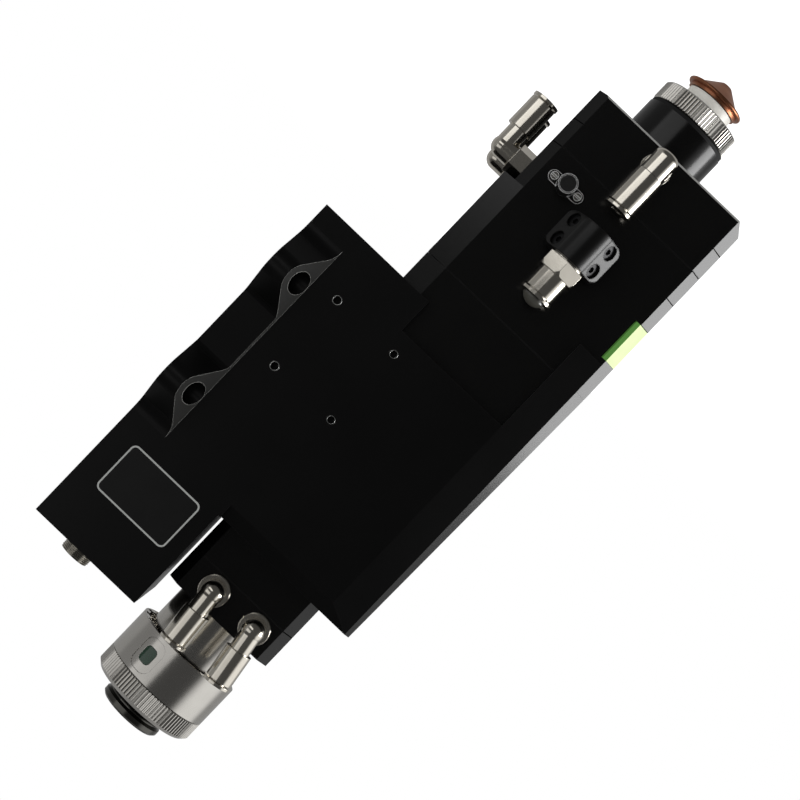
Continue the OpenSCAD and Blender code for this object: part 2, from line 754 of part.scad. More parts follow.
module gas_block_screws() color("#8d8f92") head() at_gas_screws() {
    socket_af = 2.5;
    difference() {
        union() {
            at_z(-gas_screw_head_h) cylinder(d = gas_screw_head_d, h = gas_screw_head_h - gas_screw_recess);
            at_z(-gas_screw_l) cylinder(d = gas_screw_shank_d, h = gas_screw_l - gas_screw_head_h + eps);
        }
        at_z(-gas_screw_head_h + 0.4) hexagon(socket_af, gas_screw_head_h);
    }
}
module gas_fitting() color("#c8c3b8") head() at_gas_fitting() {
    difference() {
        union() {
            at_z(-gas_thread_l) cylinder(d = gas_thread_d, h = gas_thread_l + eps);
            cylinder(d = gas_hex_af - 0.4, h = gas_washer_t);
            at_z(gas_washer_t - eps) intersection() {
                rotate([0, 0, 30]) hexagon(gas_hex_af, gas_hex_h);
                cylinder(d1 = gas_hex_af + 6, d2 = gas_hex_af + 1, h = gas_hex_h);
            }
            cylinder(d = gas_sleeve_d, h = gas_mouth);
        }
        drill(flow_d, -gas_thread_l, gas_mouth);
        sleeve_hollow(gas_mouth, gas_bore_d, run_play);
    }
}
module gas_collet() color("#bdb8ae") head()
    at_gas_fitting() release_ring(gas_mouth, gas_sleeve_d + 1.5, gas_bore_d);
module gas_plug() color("#9b9a96") head() at_gas_fitting() {
    plug_top = gas_mouth + release_travel + press_gap + turn_gap + release_ring_t;
    plug_head_d = gas_tube_d + 2;
    at_z(gas_mouth - collet_l - release_travel)
        cylinder(d = gas_tube_d, h = plug_top - gas_mouth + collet_l + release_travel + eps);
    at_z(plug_top) intersection() {
        cylinder(d = plug_head_d, h = plug_head_d);
        at_z(-plug_head_d / 4) sphere(d = 1.2 * plug_head_d);
    }
}

// Elbow fittings on the front faces and on the right side
module cooling_place() { on_front(gas_x, z_cooling, column_front) children(); }
module side_place(i) {
    on_right(i * side_fitting_spacing - side_fitting_front, z_side_fitting, column_right) children();
}
module water_place(i) {
    on_front(connector_x[i], z_connector_fitting, block_half_w, connector_lean[i]) children();
}
module round_foot() { cylinder(d = foot_d, h = foot_h); }
module side_hexagon() { hexagon(side_hex_af, side_hex_h); }
module cooling_stem() color("#c8c3b8") head() cooling_place()
    fitting_stem(foot_h, cooling_neck_d) round_foot();
module cooling_elbow() color("#c8c3b8") head() cooling_place()
    fitting_elbow(foot_h, cooling_neck_d, cooling_sleeve_d, cooling_neck_l, cooling_reach) long_head();
module cooling_collet() color("#bdb8ae") head() cooling_place()
    fitting_collet(foot_h, cooling_neck_d, cooling_sleeve_d, cooling_reach);
module front_side_stem() { color("#c8c3b8") head() side_place(0) common_stem(side_hex_h) side_hexagon(); }
module front_side_elbow() { color("#c8c3b8") head() side_place(0) common_elbow(side_hex_h); }
module front_side_collet() { color("#bdb8ae") head() side_place(0) common_collet(side_hex_h); }
module rear_side_stem() { color("#c8c3b8") head() side_place(1) common_stem(side_hex_h) side_hexagon(); }
module rear_side_elbow() { color("#c8c3b8") head() side_place(1) common_elbow(side_hex_h); }
module rear_side_collet() { color("#bdb8ae") head() side_place(1) common_collet(side_hex_h); }
module right_water_stem() { color("#c8c3b8") head() water_place(0) common_stem(foot_h) round_foot(); }
module right_water_elbow() { color("#c8c3b8") head() water_place(0) common_elbow(foot_h); }
module right_water_collet() { color("#bdb8ae") head() water_place(0) common_collet(foot_h); }
module left_water_stem() { color("#c8c3b8") head() water_place(1) common_stem(foot_h) round_foot(); }
module left_water_elbow() { color("#c8c3b8") head() water_place(1) common_elbow(foot_h); }
module left_water_collet() { color("#bdb8ae") head() water_place(1) common_collet(foot_h); }

// Sensor socket with its two screws, and the drive's socket
socket_flange_t = 1.6;
socket_screw_d = 2;
socket_screw_l = 5;
socket_screw_head_d = 3.4;
sensor_screw_spacing = sensor_socket_d + socket_screw_head_d + 2 * sensor_screw_gap;
module at_socket() { on_front(sensor_socket_x, z_window + sensor_socket_height, column_front) children(); }
module at_socket_screws() {
    at_socket() for (side = [-1, 1]) translate([0, side * sensor_screw_spacing / 2, 0]) children();
}
module sensor_socket() color("#c9b98a") head() {
    flange_w = 5.2;
    wall = 0.7;
    difference() {
        union() {
            at_socket() {
                translate([-flange_w / 2, -sensor_screw_spacing / 2, 0])
                    cube([flange_w, sensor_screw_spacing, socket_flange_t]);
                cylinder(d = sensor_socket_d, h = sensor_socket_l);
            }
            at_socket_screws() cylinder(d = flange_w, h = socket_flange_t);
        }
        at_socket_screws() drill(socket_screw_d + 2 * seat_play, 0, socket_flange_t);
        at_socket() at_z(sensor_socket_l / 3) ring(sensor_socket_d - 2 * wall, 1.2, sensor_socket_l);
    }
}
module sensor_socket_screws() color("#d4d2cc") head() at_socket_screws() {
    head_d = socket_screw_head_d;
    head_h = 1.8;
    difference() {
        union() {
            at_z(-socket_screw_l) cylinder(d = socket_screw_d, h = socket_screw_l + socket_flange_t + eps);
            at_z(socket_flange_t) cylinder(d = head_d, h = head_h);
        }
        translate([-0.35, -head_d / 2, socket_flange_t + head_h - 0.8]) cube([0.7, head_d, 1]);
    }
}
drive_socket_y = (cavity_front + cavity_back) / 2;
module at_drive_socket() { translate([drive_socket_x, drive_socket_y, box_top]) children(); }
module drive_socket() color("#c8c3b8") head() at_drive_socket() {
    nut_h = 3;
    wall = 1;
    thread_d = drive_socket_d - 2;
    difference() {
        union() {
            at_z(cavity_top - box_top) cylinder(d = thread_d, h = box_top - cavity_top + eps);
            toothed_ring(drive_socket_d, nut_h, 24, 0.4, 0.4, 0.4);
            cylinder(d = thread_d, h = drive_socket_h);
        }
        at_z(nut_h) cylinder(d = thread_d - 2 * wall, h = drive_socket_h);
    }
}

// Focus module, drive housing with its lugs, and side cover
slot_half = arm_w / 2 + arm_play;
slot_foot = z_arm - focus_travel - arm_play;
slot_top = z_arm + arm_h + focus_travel + arm_play;
module arm_slot(x0, x1) {
    translate([x0, screw_y - slot_half, slot_foot]) cube([x1 - x0, 2 * slot_half, slot_top - slot_foot]);
}
module focus_module() color("#141517") head() {
    difference() {
        at_z(z_focus) linear_extrude(focus_module_h) {
            column_plan();
            shoulder_plan();
        }
        drill(beam_bore_d, z_focus, z_collimator);
        drill(carriage_bore_d, z_carriage - focus_travel - arm_play, z_collimator);
        arm_slot(0, shoulder_right + eps);
        rotate([90, 0, 0]) linear_extrude(4 * column_front, center = true) polygon([
            [-column_left - 1, z_focus], [-column_left, z_focus],
            [side_taper - column_left, z_collimator + 1], [-column_left - 1, z_collimator + 1]
        ]);
    }
}
// Side view of a lug: round top about its bore, straight flanks, blended feet
lug_reach = norm([lug_half_l, lug_bore_h]);
lug_flank = atan2(lug_bore_h, lug_half_l) + asin(lug_top_r / lug_reach);
lug_blend = lug_fillet * tan(lug_flank / 2);
module lug_side() {
    translate([0, lug_bore_h]) circle(r = lug_top_r);
    for (side = [-1, 1]) mirror([side < 0 ? 1 : 0, 0]) {
        polygon([
            [0, -plate_t / 2], [lug_half_l, -plate_t / 2], [lug_half_l, 0],
            [lug_top_r * sin(lug_flank), lug_bore_h + lug_top_r * cos(lug_flank)], [0, lug_bore_h]
        ]);
        difference() {
            polygon([
                [lug_half_l - eps, -plate_t / 2], [lug_half_l + lug_blend, -plate_t / 2],
                [lug_half_l + lug_blend, lug_fillet],
                [lug_half_l - lug_blend * cos(lug_flank), lug_blend * sin(lug_flank)]
            ]);
            translate([lug_half_l + lug_blend, lug_fillet + lug_lip]) circle(r = lug_fillet);
        }
    }
}
module at_lugs() {
    for (side = [-1, 1])
        translate([box_right, -plate_front, lug_middle + side * lug_spacing / 2])
            rotate([180, 90, 0]) children();
}
module lugs() {
    ridge_l = lug_spacing - 1.4 * lug_half_l;
    difference() {
        union() {
            at_lugs() linear_extrude(lug_foot_t) lug_side();
            translate([box_right - lug_foot_t, -plate_front - lug_ridge, lug_middle - ridge_l / 2])
                cube([lug_foot_t, lug_ridge + plate_t / 2, ridge_l]);
        }
        // Slanted inner faces
        translate([box_right - lug_foot_t, -plate_front, 0]) linear_extrude(4 * lug_spacing, center = true)
            polygon([
                [-1, 0], [0, 0], [lug_foot_t - lug_top_t, -lug_h],
                [lug_foot_t - lug_top_t, -lug_h - 1], [-1, -lug_h - 1]
            ]);
    }
}
module plate_outline() {
    left = column_bevel - column_left;
    polygon([
        [left, z_margin], [fold_x, z_margin], [fold_x, -plate_foot], [step_x, -plate_foot],
        [step_x, -box_foot], [box_right, -box_foot], [box_right, box_top], [box_left, box_top],
        [box_left, z_collimator], [left, z_collimator]
    ]);
}
module at_rods() {
    for (side = [-1, 1]) translate([screw_x, screw_y + side * rod_spacing / 2, 0]) children();
}
module at_screw() { translate([screw_x, screw_y, 0]) children(); }
screw_pivot_d = screw_d - 3;
screw_pivot_l = 3;
module at_pattern() {
    for (sx = [-1, 1], sz = [-1, 1])
        translate([pattern_x + sx * pattern_w / 2, -plate_front, sz * pattern_h / 2])
            rotate([90, 0, 0]) children();
}
module front_housing() color("#141517") head() {
    rim = 0.45;
    difference() {
        union() {
            translate([0, -column_front, 0]) rotate([90, 0, 0]) linear_extrude(plate_t) plate_outline();
            translate([shoulder_right, -column_front - eps, -box_foot])
                cube([box_right - shoulder_right, column_front + box_back, box_foot + box_top]);
            translate([box_left, -column_front - eps, z_collimator])
                cube([box_right - box_left, column_front + box_back, box_top - z_collimator]);
            lugs();
        }
        at_lugs() at_z(-1) translate([0, lug_bore_h])
            cylinder(d = lug_bore_d, h = lug_foot_t + 2);
        // Sloped left margin and sloped top edge of the plate
        linear_extrude(4 * box_top, center = true) polygon([
            [fold_x, -plate_front - 1], [fold_x, -plate_front],
            [fold_x - margin_w, -column_front - margin_edge],
            [fold_x - margin_w - 1, -column_front - margin_edge],
            [fold_x - margin_w - 1, -plate_front - 1]
        ]);
        translate([-column_left, 0, 0]) rotate([90, 0, 90])
            linear_extrude(column_left + box_left - 1) polygon([
                [-plate_front - 1, z_collimator - top_slope], [-plate_front, z_collimator - top_slope],
                [-column_front - margin_edge, z_collimator], [-column_front - margin_edge, z_collimator + 1],
                [-plate_front - 1, z_collimator + 1]
            ]);
        // Hollow of the drive box with the cover's rebate
        translate([cavity_left, cavity_front, z_floor])
            cube([box_right, cavity_back - cavity_front, cavity_top - z_floor]);
        translate([cover_left, cover_front, cover_foot])
            cube([box_right, cover_back - cover_front, cover_top - cover_foot]);
        arm_slot(shoulder_right - eps, cavity_left + eps);
        at_rods() drill(rod_d + 2 * seat_play, z_floor - box_wall, z_floor);
        at_screw() drill(screw_pivot_d + 2 * run_play, z_floor - screw_pivot_l - turn_gap, z_floor);
        translate([drive_socket_x, drive_socket_y, 0])
            drill(drive_socket_d - 2 + 2 * seat_play, cavity_top, box_top);
        at_cover_screws() drill(cover_screw_d + 2 * seat_play, -cover_screw_l, cover_t);
        at_pattern() {
            drill(pattern_hole_d, -pattern_hole_l, 0);
            at_z(-rim) cylinder(d1 = pattern_hole_d, d2 = pattern_hole_d + 2 * rim + 2 * eps, h = rim + eps);
        }
    }
}
cover_screw_d = 2.5;
cover_screw_l = 2.4;
module at_cover_screws() {
    inset = cover_ledge / 2;
    for (y = [cover_front + inset, cover_back - inset], f = [0, 1 / 3, 2 / 3, 1])
        translate([cover_left, y, cover_foot + inset + f * (cover_top - cover_foot - 2 * inset)])
            rotate([0, 90, 0]) children();
}
module side_cover() color("#17181a") head() {
    difference() {
        translate([cover_left, cover_front + seat_play, cover_foot + seat_play])
            cube([cover_t, cover_back - cover_front - 2 * seat_play, cover_top - cover_foot - 2 * seat_play]);
        at_cover_screws() drill(cover_screw_d + 2 * seat_play, 0, cover_t);
    }
}
module side_cover_screws() color("#8d8f92") head() at_cover_screws() {
    difference() {
        at_z(-cover_screw_l) cylinder(d = cover_screw_d, h = cover_screw_l + cover_t);
        at_z(cover_t - 1) hexagon(1.3, 2);
    }
}

// Focus drive inside the box
module motor_bracket() color("#9a9da0") head() {
    difference() {
        translate([cavity_left, cavity_front, z_bracket])
            cube([cover_left - cavity_left - turn_gap, cavity_back - cavity_front, bracket_t]);
        at_rods() drill(rod_d + 2 * seat_play, z_bracket, z_bracket + bracket_t);
        at_screw() drill(screw_d + 1, z_bracket, z_bracket + bracket_t);
    }
}
z_motor = z_bracket + bracket_t;
screw_grip = 10;
module drive_motor() color("#3a3c3f") head() at_screw() {
    corner = 4;
    w = motor_w / 2;
    difference() {
        at_z(z_motor) linear_extrude(motor_l) polygon([
            [corner - w, -w], [w - corner, -w], [w, corner - w], [w, w - corner],
            [w - corner, w], [corner - w, w], [-w, w - corner], [-w, corner - w]
        ]);
        drill(screw_d + 2 * run_play, z_motor, z_motor + screw_grip + turn_gap);
    }
}
module guide_rods() color("#c4c6c8") head()
    at_rods() at_z(z_floor - box_wall) cylinder(d = rod_d, h = z_motor - z_floor + box_wall);
module lead_screw() color("#a9abad") head() at_screw() {
    at_z(z_floor - screw_pivot_l) cylinder(d = screw_pivot_d, h = screw_pivot_l + turn_gap + eps);
    at_z(z_floor + turn_gap) cylinder(d = screw_d, h = z_motor + screw_grip - z_floor - turn_gap);
}
lens_foot = 6;
module lens_carriage() color("#5b5e62") head() {
    difference() {
        union() {
            at_z(z_carriage) cylinder(d = carriage_d, h = carriage_l);
            translate([0, screw_y - arm_w / 2, z_arm]) cube([screw_x, arm_w, arm_h]);
            translate([screw_x - arm_w / 2, screw_y - rod_spacing / 2 - rod_d, z_arm])
                cube([arm_w, rod_spacing + 2 * rod_d, arm_h]);
        }
        drill(lens_seat_d, z_carriage, z_carriage + carriage_l);
        drill(focus_lens_d + 2 * seat_play, z_carriage + lens_foot, z_carriage + carriage_l);
        at_screw() drill(screw_d + 2 * run_play, z_arm, z_arm + arm_h);
        at_rods() drill(rod_d + 2 * run_play, z_arm, z_arm + arm_h);
    }
}
// Lens with a flat rim and a crowned face as wide as its clear opening
module lens(d, clear_d, t, bulge) {
    crown_r = (clear_d * clear_d / 4 + bulge * bulge) / (2 * bulge);
    cylinder(d = d, h = t);
    at_z(t - eps) intersection() {
        at_z(bulge - crown_r) sphere(r = crown_r);
        cylinder(d = 2 * d, h = 2 * bulge);
    }
}
lens_bulge = 1.6;
module focus_lens() color("#cfe3e6") head()
    at_z(z_carriage + lens_foot) lens(focus_lens_d, lens_seat_d, lens_t, lens_bulge);
module focus_lens_ring() color("#b9bbbd") head()
    at_z(z_carriage + lens_foot + lens_t) ring(focus_lens_d, lens_seat_d + 2 * turn_gap, ring_t);

// Collimator and fibre connector
collimator_seat_d = collimator_lens_d - 4;
collimator_foot = 5;
module collimator_block() color("#17181a") head() {
    difference() {
        union() {
            at_z(z_collimator) linear_extrude(collimator_h - seam) block_plan();
            at_z(z_connector - seam - eps) linear_extrude(seam + eps) block_plan(seam);
        }
        drill(collimator_seat_d, z_collimator, z_connector);
        drill(collimator_lens_d + 2 * seat_play, z_collimator + collimator_foot, z_connector);
    }
}
module collimator_lens() color("#cfe3e6") head()
    at_z(z_collimator + collimator_foot) lens(collimator_lens_d, collimator_seat_d, lens_t, lens_bulge);
module collimator_lens_ring() color("#b9bbbd") head()
    at_z(z_collimator + collimator_foot + lens_t)
        ring(collimator_lens_d, collimator_seat_d + 2 * turn_gap, ring_t);
module connector_block() color("#17181a") head() {
    difference() {
        at_z(z_connector) linear_extrude(connector_block_h) block_plan();
        drill(fibre_bore_d, z_connector, z_head);
        for (i = [0, 1]) water_place(i) stem_seat();
    }
}
module connector_neck() color("#b9b6b0") head() {
    difference() {
        union() {
            at_z(z_head) cylinder(d = fibre_neck_d, h = fibre_neck_l);
            at_z(z_collar - eps) cylinder(d = fibre_tube_d, h = z_nose - z_collar + eps);
        }
        drill(fibre_bore_d, z_head, z_nose);
    }
}
collar_window_turn = 26;
collar_window_w = 6;
collar_window_h = 7.4;
collar_window_t = 1.5;
collar_inset_w = collar_window_w + 5;
collar_inset_h = collar_window_h + 7.6;
collar_rim_d = fibre_collar_d - 5;
collar_rim_h = 6;
// Rounded upright slab in front of the beam axis, for the collar's window and its inset
module collar_slab(w, h, r) {
    at_z(z_collar + fibre_collar_h / 2) rotate([0, 0, collar_window_turn]) rotate([90, 0, 0])
        linear_extrude(fibre_collar_d) {
            square([w - 2 * r, h], center = true);
            square([w, h - 2 * r], center = true);
            for (sx = [-1, 1], sy = [-1, 1]) translate([sx * (w / 2 - r), sy * (h / 2 - r)]) circle(r = r);
        }
}
module connector_collar() color("#b9b6b0") head() {
    notch_w = 3.4;
    inset_t = 0.3;
    difference() {
        at_z(z_collar) cylinder(d = fibre_collar_d, h = fibre_collar_h);
        drill(fibre_tube_d + 2 * seat_play, z_collar, z_collar + fibre_collar_h);
        drill(collar_rim_d, z_collar, z_collar + collar_rim_h);
        for (i = [0 : fibre_notches - 1]) rotate([0, 0, 360 * (i + 0.5) / fibre_notches])
            translate([0, -notch_w / 2, z_collar - 1])
                cube([fibre_collar_d / 2 - 0.8, notch_w, fibre_notch_h + 1]);
        intersection() {
            collar_slab(collar_inset_w, collar_inset_h, 4);
            at_z(z_collar) ring(fibre_collar_d + 2, fibre_collar_d - 2 * inset_t, fibre_collar_h);
        }
        intersection() {
            collar_slab(collar_window_w + 2 * seat_play, collar_window_h + 2 * seat_play, 2);
            at_z(z_collar) ring(fibre_collar_d + 2, fibre_collar_d - 2 * collar_window_t, fibre_collar_h);
        }
    }
}
module collar_window() color("#1d3b28") head() intersection() {
    collar_slab(collar_window_w, collar_window_h, 2);
    at_z(z_collar) ring(fibre_collar_d - 0.4, fibre_collar_d - 2 * collar_window_t + eps, fibre_collar_h);
}
module fibre_lock_ring() color("#c2bfb9") head() {
    difference() {
        at_z(z_fibre_ring) toothed_ring(fibre_collar_d, fibre_ring_h, fibre_ring_teeth, 0.4, 0.3, 1.8);
        at_z(z_fibre_ring) drill(fibre_tube_d + 2 * run_play, 0, fibre_ring_h);
    }
}
module connector_nose() color("#cfccc5") head() {
    rim_h = 4;
    edge = 1;
    at_z(z_nose) rotate_extrude() polygon([
        [fibre_bore_d / 2, 0], [fibre_tube_d / 2, 0], [fibre_tube_d / 2, 1], [fibre_waist_d / 2, 3],
        [fibre_waist_d / 2, fibre_nose_h - rim_h], [fibre_nose_d / 2, fibre_nose_h - rim_h + edge],
        [fibre_nose_d / 2, fibre_nose_h - edge], [fibre_nose_d / 2 - edge, fibre_nose_h],
        [fibre_bore_d / 2, fibre_nose_h]
    ]);
}

nozzle_module();
sensor_body();
sensor_seal();
nozzle_lock_ring();
ceramic_body();
nozzle();
window_module();
lower_drawer();
lower_window();
lower_window_ring();
lower_drawer_seal();
upper_drawer();
upper_window();
upper_window_ring();
upper_drawer_seal();
status_light();
gas_block();
gas_block_screws();
gas_fitting();
gas_collet();
gas_plug();
cooling_stem();
cooling_elbow();
cooling_collet();
sensor_socket();
sensor_socket_screws();
front_side_stem();
front_side_elbow();
front_side_collet();
rear_side_stem();
rear_side_elbow();
rear_side_collet();
focus_module();
front_housing();
side_cover();
side_cover_screws();
drive_socket();
drive_motor();
motor_bracket();
guide_rods();
lead_screw();
lens_carriage();
focus_lens();
focus_lens_ring();
collimator_block();
collimator_lens();
collimator_lens_ring();
connector_block();
right_water_stem();
right_water_elbow();
right_water_collet();
left_water_stem();
left_water_elbow();
left_water_collet();
connector_neck();
connector_collar();
collar_window();
fibre_lock_ring();
connector_nose();
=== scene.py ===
"""Looks of the laser cutting head: finishes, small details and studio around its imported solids."""

import json
import logging
import math
from collections.abc import Callable
from dataclasses import dataclass, replace
from enum import Enum

import bpy
from mathutils import Matrix, Vector


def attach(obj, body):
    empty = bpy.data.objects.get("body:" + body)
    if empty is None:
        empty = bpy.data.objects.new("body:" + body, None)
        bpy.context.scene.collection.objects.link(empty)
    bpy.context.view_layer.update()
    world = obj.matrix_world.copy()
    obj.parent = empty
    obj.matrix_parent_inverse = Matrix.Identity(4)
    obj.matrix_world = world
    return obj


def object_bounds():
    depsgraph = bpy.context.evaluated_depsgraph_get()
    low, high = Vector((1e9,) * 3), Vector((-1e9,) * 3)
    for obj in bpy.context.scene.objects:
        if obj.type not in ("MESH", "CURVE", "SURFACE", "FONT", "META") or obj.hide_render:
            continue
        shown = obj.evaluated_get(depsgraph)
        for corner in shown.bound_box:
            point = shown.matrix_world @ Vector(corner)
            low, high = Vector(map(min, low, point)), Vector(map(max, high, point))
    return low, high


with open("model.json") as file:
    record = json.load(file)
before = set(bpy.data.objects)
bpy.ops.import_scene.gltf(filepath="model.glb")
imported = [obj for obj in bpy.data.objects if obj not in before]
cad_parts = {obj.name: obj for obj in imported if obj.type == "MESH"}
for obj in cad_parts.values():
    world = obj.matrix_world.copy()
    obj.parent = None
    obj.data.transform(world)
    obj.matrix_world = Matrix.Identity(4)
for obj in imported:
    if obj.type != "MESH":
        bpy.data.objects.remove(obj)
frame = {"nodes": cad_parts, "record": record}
CAD_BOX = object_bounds()
LOG = logging.getLogger("laser_head")
MM = 0.001
# A point of the beam's axis in the head's own frame
BEAM = (-38.2 * MM, 44.5 * MM, 0.0)
# Two directions in that frame
FRONT = (0.0, -1.0, 0.0)
UP = (0.0, 0.0, 1.0)
# Span of a share
WHOLE = (0.0, 1.0)
# Finer layers of the noise in colour patches, in fine marks and in the drift of clear pieces
PATCH_DETAIL = 3.0
MARK_DETAIL = 2.0
DRIFT_DETAIL = 1.0
# Least metallic share of a finish that has no index of refraction
METAL = 0.5
# Rays that feel for a nearby edge
EDGE_SAMPLES = 4
# Agreement of the eased normal with the flat one: where an edge begins, and where it is full
EDGE_SPAN = (0.97, 0.91)
# Agreement of a normal with the direction of the faces painted lighter: where the painted light begins, and
# where it is full
LIT_FACE_SPAN = (0.95, 0.99)
# Joint lines: half their width, their colour, and how far sideways a face has to look to show them
SEAM_HALF = 0.22 * MM
SEAM_TONE = "#050505"
SEAM_SIDE = 0.5
# Share of the fine marks' height that the shading takes up
MARK_STRENGTH = 0.35


class Lay(Enum):
    """Direction of the fine marks that a tool leaves on a surface."""

    TURNED = "turned about the beam"
    BLASTED = "blasted"


def linear(code: str) -> tuple[float, float, float, float]:
    """Turn an sRGB hex colour to linear light.

    Args:
        code: Six hex digits after a hash sign.

    Returns:
        Linear red, green, blue and an alpha of 1.
    """
    parts = [int(code[i : i + 2], 16) / 255 for i in (1, 3, 5)]
    red, green, blue = (c / 12.92 if c <= 0.04045 else ((c + 0.055) / 1.055) ** 2.4 for c in parts)
    return red, green, blue, 1.0


def add_node(tree: bpy.types.NodeTree, kind: str, settings: dict, links: dict) -> bpy.types.Node:
    """Add one node with its settings and links.

    Args:
        tree: Node tree that gets the node.
        kind: Blender's type name of the node.
        settings: Property or input name to value.
        links: Input name or number to the output socket that feeds it.

    Returns:
        The new node.
    """
    node = tree.nodes.new(kind)
    for name, value in settings.items():
        if isinstance(name, str) and hasattr(node, name):
            setattr(node, name, value)
        else:
            node.inputs[name].default_value = value
    for name, source in links.items():
        tree.links.new(source, node.inputs[name])
    return node


def fresh_tree(name: str) -> tuple[bpy.types.Material, bpy.types.NodeTree]:
    """Start a material with an empty node tree.

    Args:
        name: Name of the material.

    Returns:
        The material and its tree.
    """
    material = bpy.data.materials.new(name)
    material.use_nodes = True
    material.node_tree.nodes.clear()
    return material, material.node_tree


def grain(
    tree: bpy.types.NodeTree, place: bpy.types.NodeSocket, size_mm: float, detail: float
) -> bpy.types.NodeSocket:
    """Add noise with patches of about one size.

    Args:
        tree: Node tree of the material.
        place: Coordinates in metres.
        size_mm: Size of the patches in millimetres.
        detail: Number of finer layers.

    Returns:
        A value from 0 to 1.
    """
    settings = {"Scale": 1 / (size_mm * MM), "Detail": detail}
    return add_node(tree, "ShaderNodeTexNoise", settings, {"Vector": place}).outputs["Fac"]


def blend(
    tree: bpy.types.NodeTree,
    share: bpy.types.NodeSocket,
    first: str | bpy.types.NodeSocket,
    second: str | bpy.types.NodeSocket,
) -> bpy.types.NodeSocket:
    """Mix two colours, each a hex code or the output of a node.

    Args:
        tree: Node tree of the material.
        share: Share of the second colour.
        first: Colour at a share of 0.
        second: Colour at a share of 1.

    Returns:
        The mixed colour.
    """
    settings: dict = {"data_type": "RGBA"}
    links: dict = {0: share}
    for number, colour in ((6, first), (7, second)):
        if isinstance(colour, str):
            settings[number] = linear(colour)
        else:
            links[number] = colour
    return add_node(tree, "ShaderNodeMix", settings, links).outputs[2]


def rescale(
    tree: bpy.types.NodeTree,
    value: bpy.types.NodeSocket,
    span: tuple[float, float],
    levels: tuple[float, float],
    kind: str = "LINEAR",
) -> bpy.types.NodeSocket:
    """Carry a value from one span to another, and hold it at the ends.

    Args:
        tree: Node tree of the material or world.
        value: Value to carry over.
        span: Start and end of the span that it comes from.
        levels: What the start and the end become.
        kind: Blender's name of the curve between them.

    Returns:
        The new value.
    """
    settings = {
        "interpolation_type": kind,
        "From Min": span[0],
        "From Max": span[1],
        "To Min": levels[0],
        "To Max": levels[1],
    }
    return add_node(tree, "ShaderNodeMapRange", settings, {"Value": value}).outputs[0]


def compute(
    tree: bpy.types.NodeTree, operation: str, *values: float | bpy.types.NodeSocket
) -> bpy.types.NodeSocket:
    """Add one step of arithmetic on numbers and outputs of nodes.

    Args:
        tree: Node tree of the material or world.
        operation: Blender's name of the operation.
        values: What it works on, in order.

    Returns:
        The result.
    """
    settings: dict = {"operation": operation}
    links: dict = {}
    for number, value in enumerate(values):
        if isinstance(value, float):
            settings[number] = value
        else:
            links[number] = value
    return add_node(tree, "ShaderNodeMath", settings, links).outputs[0]


def agreement(
    tree: bpy.types.NodeTree,
    first: bpy.types.NodeSocket,
    second: tuple[float, float, float] | bpy.types.NodeSocket,
) -> bpy.types.NodeSocket:
    """Compare two directions.

    Args:
        tree: Node tree of the material.
        first: Output of a node.
        second: Fixed direction, or the output of a node.

    Returns:
        The cosine of the angle between them.
    """
    fixed = isinstance(second, tuple)
    settings = {"operation": "DOT_PRODUCT"} | ({1: second} if fixed else {})
    links = {0: first} | ({} if fixed else {1: second})
    return add_node(tree, "ShaderNodeVectorMath", settings, links).outputs["Value"]


@dataclass(frozen=True)
class PaintedLitFaces:
    """Faces of one direction painted lighter, standing in for the light that falls on them: their painted
    colour, and the painted highlight of their edges.
    """

    facing: tuple[float, float, float]
    face: str
    edge: str


